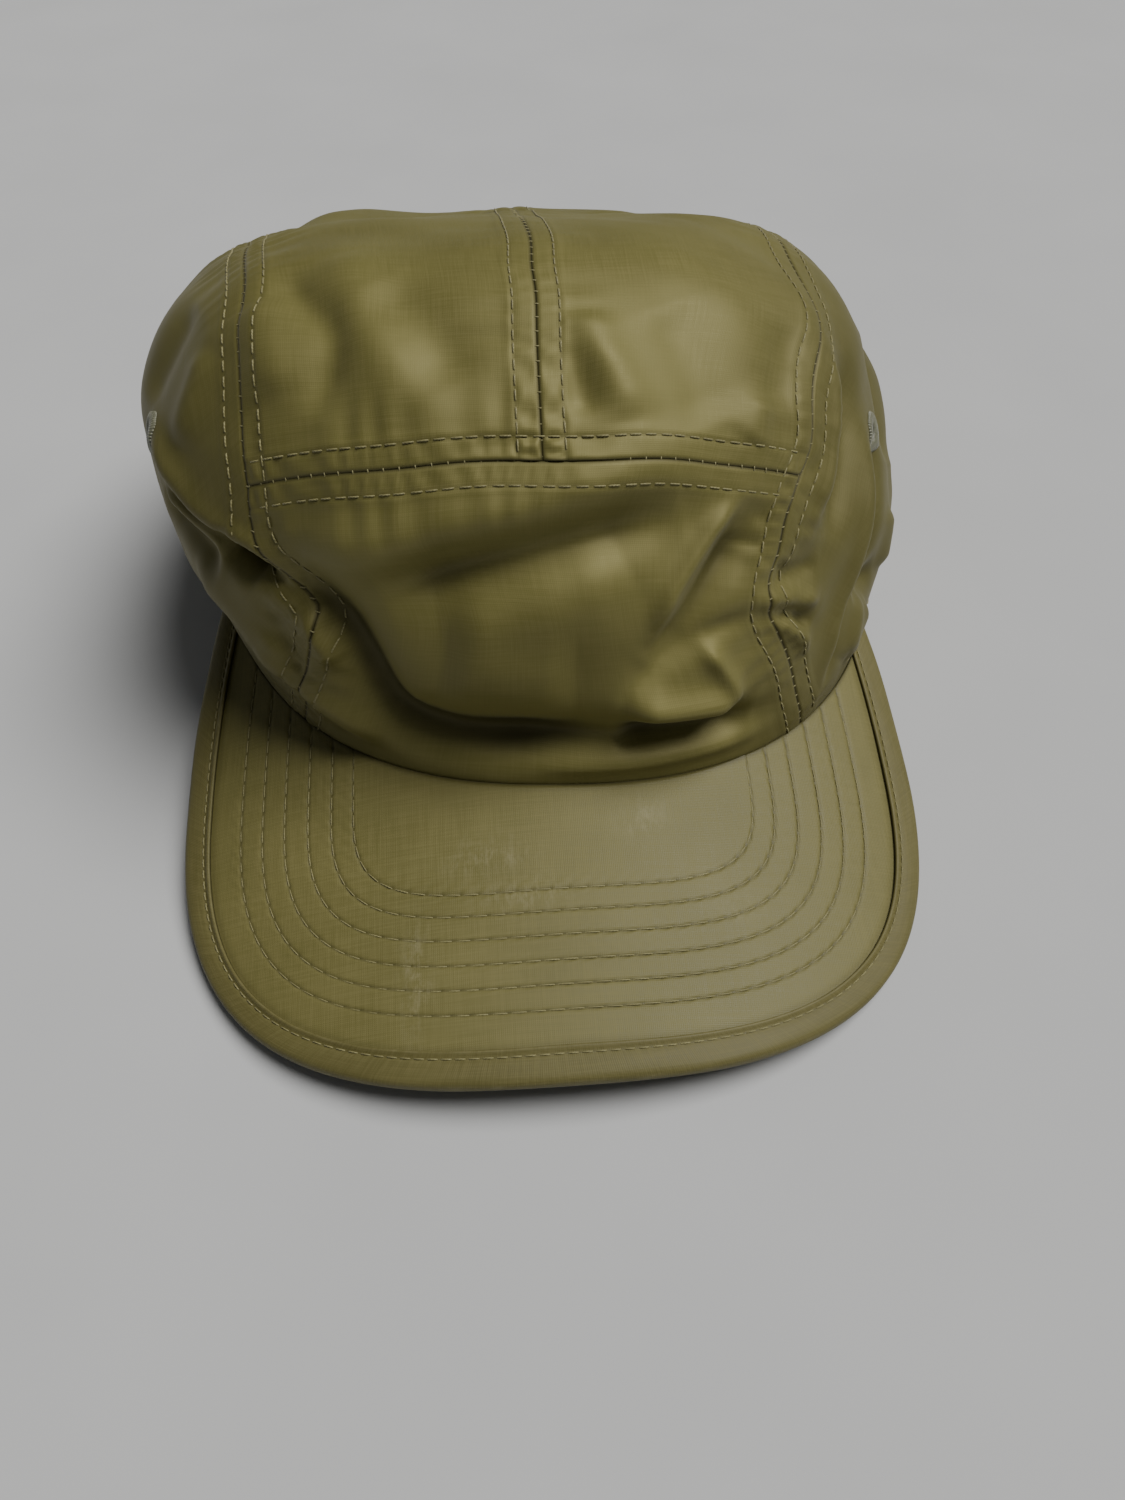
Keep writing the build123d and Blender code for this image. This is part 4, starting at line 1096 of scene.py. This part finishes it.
class Mat:
    """A node material built up step by step."""

    def __init__(self, name, **sockets):
        self.m = bpy.data.materials.new(name)
        self.m.use_nodes = True
        self.t = self.m.node_tree
        self.shader = self.t.nodes["Principled BSDF"]
        for key, value in sockets.items():
            self.shader.inputs[key.replace("_", " ")].default_value = value

    def node(self, kind, links=None, **settings):
        n = self.t.nodes.new(kind)
        for key, value in settings.items():
            if key in n.inputs:
                n.inputs[key].default_value = value
            else:
                setattr(n, key, value)
        for key, socket in (links or {}).items():
            self.t.links.new(socket, n.inputs[key])
        return n

    def link(self, socket, name):
        self.t.links.new(socket, self.shader.inputs[name])

    def mapped(self, where, **settings):
        return self.node("ShaderNodeMapping", {"Vector": where}, **settings).outputs["Vector"]

    def cloth(self, sx=1.0, sy=1.0):
        """Where the surface lies on its cloth, in metres, stretched."""
        uv = self.node("ShaderNodeUVMap", uv_map="cloth").outputs["UV"]
        return self.mapped(uv, Scale=(sx, sy, 1.0))

    def place(self):
        return self.node("ShaderNodeTexCoord").outputs["Object"]

    def noise(self, where, scale, detail=2.0, rough=0.5):
        return self.node("ShaderNodeTexNoise", {"Vector": where}, Scale=scale, Detail=detail,
                         Roughness=rough).outputs["Fac"]

    def wave(self, where, period, axis="X"):
        """Stripes of a period in metres."""
        return self.node("ShaderNodeTexWave", {"Vector": where}, bands_direction=axis,
                         Scale=2 * pi / (20 * period)).outputs["Fac"]

    def math(self, operation, a, b):
        n = self.node("ShaderNodeMath", operation=operation)
        for i, x in enumerate((a, b)):
            if isinstance(x, (int, float)):
                n.inputs[i].default_value = x
            else:
                self.t.links.new(x, n.inputs[i])
        return n.outputs[0]

    def times(self, a, b):
        return self.math("MULTIPLY", a, b)

    def plus(self, a, b):
        return self.math("ADD", a, b)

    def share(self, name):
        return self.node("ShaderNodeAttribute", attribute_name=name).outputs["Fac"]

    def shaded(self, tone, dark, most=0.9):
        """The tone, turned dark by painted shade where the piece's shade attribute says so."""
        return self.mix(self.times(self.share("shade"), most), tone, dark)

    def ramp(self, fac, low, high, to_low=0.0, to_high=1.0):
        limits = {"From Min": low, "From Max": high, "To Min": to_low, "To Max": to_high}
        return self.node("ShaderNodeMapRange", {"Value": fac}, **limits).outputs["Result"]

    def mix(self, fac, a, b):
        """Colour a towards colour b."""
        n = self.node("ShaderNodeMix", data_type="RGBA")
        for name, x in (("Factor_Float", fac), ("A_Color", a), ("B_Color", b)):
            socket = next(s for s in n.inputs if s.identifier == name)
            if isinstance(x, (int, float)):
                socket.default_value = x
            elif isinstance(x, tuple):
                socket.default_value = (*x, 1.0)
            else:
                self.t.links.new(x, socket)
        return next(s for s in n.outputs if s.identifier == "Result_Color")

    def bump(self, height, distance, strength=1.0, under=None):
        links = {"Height": height}
        if under is not None:
            links["Normal"] = under
        return self.node("ShaderNodeBump", links, Distance=distance, Strength=strength).outputs["Normal"]


def woven(name, colour, deep, pale, period, rough, weave, slub=0.18, crinkle=0.0, wear_to=None, **sockets):
    """A plain or satin cloth: yarns both ways, slubs, slow changes of colour, painted shade in seams, hollows
    and gaps, rubbed places.
    """
    m = Mat(name, **sockets)
    warp = m.noise(m.cloth(1.0, 0.035), 0.9 / period, 2.0)
    weft = m.noise(m.cloth(0.035, 1.0), 0.9 / period, 2.0)
    yarn = m.times(m.plus(warp, weft), 0.5)
    slow = m.noise(m.place(), 38.0, 3.0)
    tone = m.mix(m.ramp(slow, 0.3, 0.7), deep, colour)
    tone = m.mix(m.times(m.ramp(yarn, 0.42, 0.62), slub), tone, pale)
    # painted shade from the piece's shade attribute
    tone = m.shaded(tone, tuple(c * 0.12 for c in deep))
    rub = m.times(m.share("wear"), m.ramp(m.noise(m.cloth(1.0, 0.45), 420.0, 6.0, 0.72), 0.46, 0.78))
    tone = m.mix(m.times(rub, 0.6), tone, wear_to or pale)
    m.link(tone, "Base Color")
    m.link(m.plus(m.ramp(yarn, 0.35, 0.65, rough - 0.05, rough + 0.06), m.times(rub, 0.2)),
           "Roughness")
    over = m.times(m.wave(m.cloth(), period, "X"), m.wave(m.cloth(), period, "Y"))
    normal = m.bump(m.plus(over, m.times(yarn, 0.8)), weave, 0.6)
    if crinkle:
        soft = m.plus(m.noise(m.place(), 95.0, 2.0), m.times(m.noise(m.place(), 42.0, 1.0), 1.6))
        normal = m.bump(soft, crinkle, 0.8, normal)
    m.link(normal, "Normal")
    return m.m


def twill(name, colour, deep, period, rough, **sockets):
    """Brushed diagonal twill."""
    m = Mat(name, **sockets)
    diagonal = m.mapped(m.cloth(), Rotation=(0, 0, radians(52)))
    rib = m.wave(diagonal, period, "X")
    fuzz = m.noise(m.cloth(), 2.2 / period, 4.0, 0.7)
    slow = m.noise(m.place(), 50.0, 3.0)
    tone = m.mix(m.ramp(rib, 0.1, 0.9, 0.0, 0.55), colour, deep)
    tone = m.mix(m.times(m.ramp(slow, 0.35, 0.7), 0.35), tone, deep)
    # painted shade from the piece's shade attribute
    tone = m.shaded(tone, tuple(c * 0.15 for c in deep))
    m.link(tone, "Base Color")
    m.link(m.ramp(fuzz, 0.3, 0.7, rough - 0.06, rough + 0.06), "Roughness")
    m.link(m.bump(m.plus(rib, m.times(fuzz, 0.9)), 0.00009, 0.8), "Normal")
    return m.m


def thread_material(name, colour, deep):
    """Shiny plied thread: the uv runs along each stitch."""
    m = Mat(name, Specular_IOR_Level=0.5, Sheen_Weight=0.15)
    ply = m.mapped(m.cloth(), Rotation=(0, 0, radians(40)))
    twist = m.wave(ply, 0.0006, "Y")
    tone = m.mix(m.ramp(m.noise(m.place(), 60.0), 0.35, 0.65), deep, colour)
    m.link(m.mix(m.ramp(twist, 0.2, 0.9), deep, tone), "Base Color")
    m.link(m.ramp(twist, 0.0, 1.0, 0.62, 0.45), "Roughness")
    m.link(m.bump(twist, 0.00005, 0.7), "Normal")
    return m.m


def grained(name, scale, low, high, rough, relief=None, detail=3.0, mottle=0.5, shaded=None, **sockets):
    """A fine grain between two colours and two roughnesses. relief is its bump's depth and strength; shaded is
    the colour of painted shade where the piece's shade attribute asks for it.
    """
    m = Mat(name, **sockets)
    grain = m.noise(m.place(), scale, detail, mottle)
    tone = m.mix(m.ramp(grain, 0.3, 0.7), low, high)
    if shaded:
        tone = m.shaded(tone, shaded, 0.85)
    m.link(tone, "Base Color")
    m.link(m.ramp(grain, 0.3, 0.7, *rough), "Roughness")
    if relief:
        m.link(m.bump(grain, *relief), "Normal")
    return m.m


def metal_material(name, colour, worn, rough):
    """Antique plated metal: brushed, darker where the finish has settled, brighter where it is rubbed."""
    m = Mat(name, Metallic=1.0)
    brushed = m.mapped(m.place(), Scale=(1.0, 1.0, 0.04))
    lines = m.noise(brushed, 4200.0, 3.0)
    patch = m.noise(m.place(), 260.0, 4.0, 0.6)
    rubbed = m.noise(m.place(), 110.0, 3.0, 0.6)
    tone = m.mix(m.ramp(patch, 0.40, 0.62), tuple(c * 0.62 for c in colour), colour)
    tone = m.mix(m.times(m.ramp(lines, 0.40, 0.65), 0.35), tone, worn)
    tone = m.mix(m.times(m.ramp(rubbed, 0.44, 0.68), 0.45), tone, worn)
    m.link(tone, "Base Color")
    m.link(m.plus(m.ramp(lines, 0.3, 0.7, rough - 0.06, rough + 0.08), m.ramp(patch, 0.4, 0.7, 0.08, 0.0)),
           "Roughness")
    m.link(m.bump(m.plus(lines, m.times(patch, 0.6)), 0.00003, 0.5), "Normal")
    return m.m


OLIVE, OLIVE_DEEP, OLIVE_PALE = (0.177, 0.164, 0.049), (0.146, 0.135, 0.037), (0.290, 0.258, 0.108)
VISOR_OLIVE, VISOR_DEEP = (0.172, 0.156, 0.052), (0.142, 0.130, 0.040)
YARN = 0.00042       # metres from yarn to yarn
SATIN = woven("satin_nylon", OLIVE, OLIVE_DEEP, OLIVE_PALE, YARN, 0.56, weave=0.00002, crinkle=0.00012,
              wear_to=(0.42, 0.40, 0.28), Specular_IOR_Level=0.6, Sheen_Weight=0.06, Sheen_Roughness=0.35,
              Metallic=0.14, Specular_Tint=(1.0, 0.9, 0.66, 1.0))
VISOR_CLOTH = woven("visor_nylon", VISOR_OLIVE, VISOR_DEEP, OLIVE_PALE, YARN, 0.5, weave=0.00004,
                    crinkle=0.00006, wear_to=(0.40, 0.37, 0.24), Specular_IOR_Level=0.35, Sheen_Weight=0.05,
                    Sheen_Roughness=0.4)
EDGE_CLOTH = woven("edge_tape_nylon", (0.135, 0.121, 0.040), (0.112, 0.100, 0.031), OLIVE_PALE, YARN, 0.52,
                   weave=0.00004, crinkle=0.00006, wear_to=(0.34, 0.31, 0.19), Specular_IOR_Level=0.35)
TAPE_CLOTH = woven("tape_nylon", OLIVE, OLIVE_DEEP, OLIVE_PALE, 0.0005, 0.52, weave=0.00006, slub=0.3,
                   Specular_IOR_Level=0.4, Sheen_Weight=0.2)
LABEL_CLOTH = woven("label_satin", (0.72, 0.70, 0.64), (0.62, 0.60, 0.54), (0.8, 0.79, 0.74), 0.0004, 0.4,
                    weave=0.00003, Sheen_Weight=0.3)
BAND_CLOTH = twill("sweatband_brushed_twill", (0.145, 0.130, 0.058), (0.085, 0.075, 0.032), 0.0008, 0.85,
                   Sheen_Weight=0.4, Sheen_Roughness=0.5)
WEBBING = woven("strap_webbing_nylon", (0.150, 0.132, 0.046), (0.110, 0.096, 0.032), OLIVE_PALE, 0.0009, 0.55,
                weave=0.0001, slub=0.35, Specular_IOR_Level=0.4, Sheen_Weight=0.2)
THREAD = thread_material("polyester_thread", (0.350, 0.325, 0.150), (0.220, 0.200, 0.085))
# its shaded colour is painted shade between the eyelet's strands and in its hole
EYELET_THREAD = grained("eyelet_rayon_thread", 2600.0, (0.105, 0.108, 0.066), (0.235, 0.24, 0.165),
                        (0.36, 0.5), (0.00006, 0.8), mottle=0.6, shaded=(0.03, 0.03, 0.015),
                        Specular_IOR_Level=0.6, Sheen_Weight=0.3, Sheen_Roughness=0.4)
FELT = grained("backing_nonwoven", 1500.0, (0.42, 0.41, 0.36), (0.62, 0.61, 0.55), (0.8, 0.95),
               (0.00015, 0.8), detail=5.0, mottle=0.75, Sheen_Weight=0.2)
BOARD_PLASTIC = grained("visor_board_polyethylene", 700.0, (0.62, 0.61, 0.56), (0.72, 0.71, 0.66),
                        (0.38, 0.5), (0.00004, 0.5), Subsurface_Weight=0.1,
                        Subsurface_Radius=(0.002, 0.002, 0.0015))
BRASS = metal_material("antique_brass", (0.34, 0.25, 0.12), (0.60, 0.48, 0.26), 0.30)
STEEL_PIN = metal_material("pin_steel", (0.40, 0.37, 0.32), (0.7, 0.68, 0.62), 0.25)

# ---------------------------------------------------------------- floor, light and camera


FLOOR_DROP, FLOOR_HALF, FLOOR_STEPS = 0.0008, 8.0, 60


def make_stage():
    me = bpy.data.meshes.new("floor")
    side = np.linspace(-FLOOR_HALF, FLOOR_HALF, FLOOR_STEPS)
    x, y = np.meshgrid(side, side)
    me.from_pydata(np.stack([x, y, 0 * x - FLOOR_DROP], -1).reshape(-1, 3).tolist(), [],
                   quads(FLOOR_STEPS, FLOOR_STEPS).tolist())
    me.materials.append(grained("floor_paper", 14.0, (0.53, 0.54, 0.56), (0.56, 0.57, 0.59), (0.85, 0.95)))
    floor = bpy.data.objects.new("floor", me)
    COLLECTION.objects.link(floor)


def put(o, place, x, y, z):
    """The object at a place, its axes along three directions."""
    o.matrix_world = Matrix([[*row, p] for row, p in zip(np.stack([x, y, z], 1), place)] + [[0, 0, 0, 1]])
    COLLECTION.objects.link(o)


def light(kind, name, place, colour, **settings):
    """A light at a place, facing the cap."""
    data = bpy.data.lights.new(name, kind)
    data.color = colour
    for key, value in settings.items():
        setattr(data, key, value)
    z = unit(np.array(place) - CAP_MIDDLE)
    x = unit(np.cross([0.0, 0.0, 1.0], z))
    put(bpy.data.objects.new(name, data), place, x, np.cross(z, x), z)


CAP_MIDDLE = np.array([0.0, 0.0, 0.06])
WARM, COOL = (1.0, 0.98, 0.93), (0.93, 0.97, 1.0)
ROOM, BACKDROP = 0.05, 0.55        # what the surroundings give as light, and how bright they look


def make_light():
    light("SUN", "window", (0.52, 0.05, 1.10), WARM, energy=3.35, angle=radians(38))
    light("AREA", "room_fill", (-0.9, 0.2, 0.9), COOL, shape="DISK", size=1.2, energy=0.3)
    light("AREA", "front_fill", (0.25, -0.7, 1.25), WARM, shape="DISK", size=1.4, energy=0.6)
    world = bpy.data.worlds.new("soft_room")
    world.use_nodes = True
    nodes, links = world.node_tree.nodes, world.node_tree.links
    room = nodes["Background"]
    seen, pick, ray = (nodes.new(f"ShaderNode{kind}") for kind in ("Background", "MixShader", "LightPath"))
    for background, strength in ((room, ROOM), (seen, BACKDROP)):
        background.inputs["Color"].default_value = (0.92, 0.93, 0.95, 1.0)
        background.inputs["Strength"].default_value = strength
    links.new(ray.outputs["Is Camera Ray"], pick.inputs[0])
    links.new(room.outputs[0], pick.inputs[1])
    links.new(seen.outputs[0], pick.inputs[2])
    links.new(pick.outputs[0], nodes["World Output"].inputs["Surface"])
    bpy.context.scene.world = world


CAMERA_AT = (-0.0059, -0.2311, 0.2314)
CAMERA_YAW, CAMERA_PITCH, CAMERA_ROLL, CAMERA_LENS = radians(3.04), radians(50.58), radians(-1.2), 27.28


def make_camera():
    """The camera where the photo was taken from."""
    data = bpy.data.cameras.new("photo_view")
    data.sensor_width, data.lens, data.clip_start, data.clip_end = 36.0, CAMERA_LENS, 0.01, 20.0
    level_run = cos(CAMERA_PITCH)
    forward = np.array([sin(CAMERA_YAW) * level_run, cos(CAMERA_YAW) * level_run, -sin(CAMERA_PITCH)])
    right = unit(np.cross(forward, [0.0, 0.0, 1.0]))
    up = np.cross(right, forward)
    c, s = cos(CAMERA_ROLL), sin(CAMERA_ROLL)
    o = bpy.data.objects.new("photo_view", data)
    put(o, CAMERA_AT, c * right + s * up, c * up - s * right, -forward)
    bpy.context.scene.camera = o


def make_buckle():
    for node, material in (("buckle_frame", BRASS), ("buckle_lever", BRASS), ("buckle_pin", STEEL_PIN)):
        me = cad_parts[node].data
        me.materials.clear()
        me.materials.append(material)


make_camera()
make_stage()
make_light()
make_panels()
make_seam_stitches()
make_lower_stitch()
make_tapes()
make_inside()
make_eyelets()
make_arch()
make_visor()
make_strap()
make_buckle()
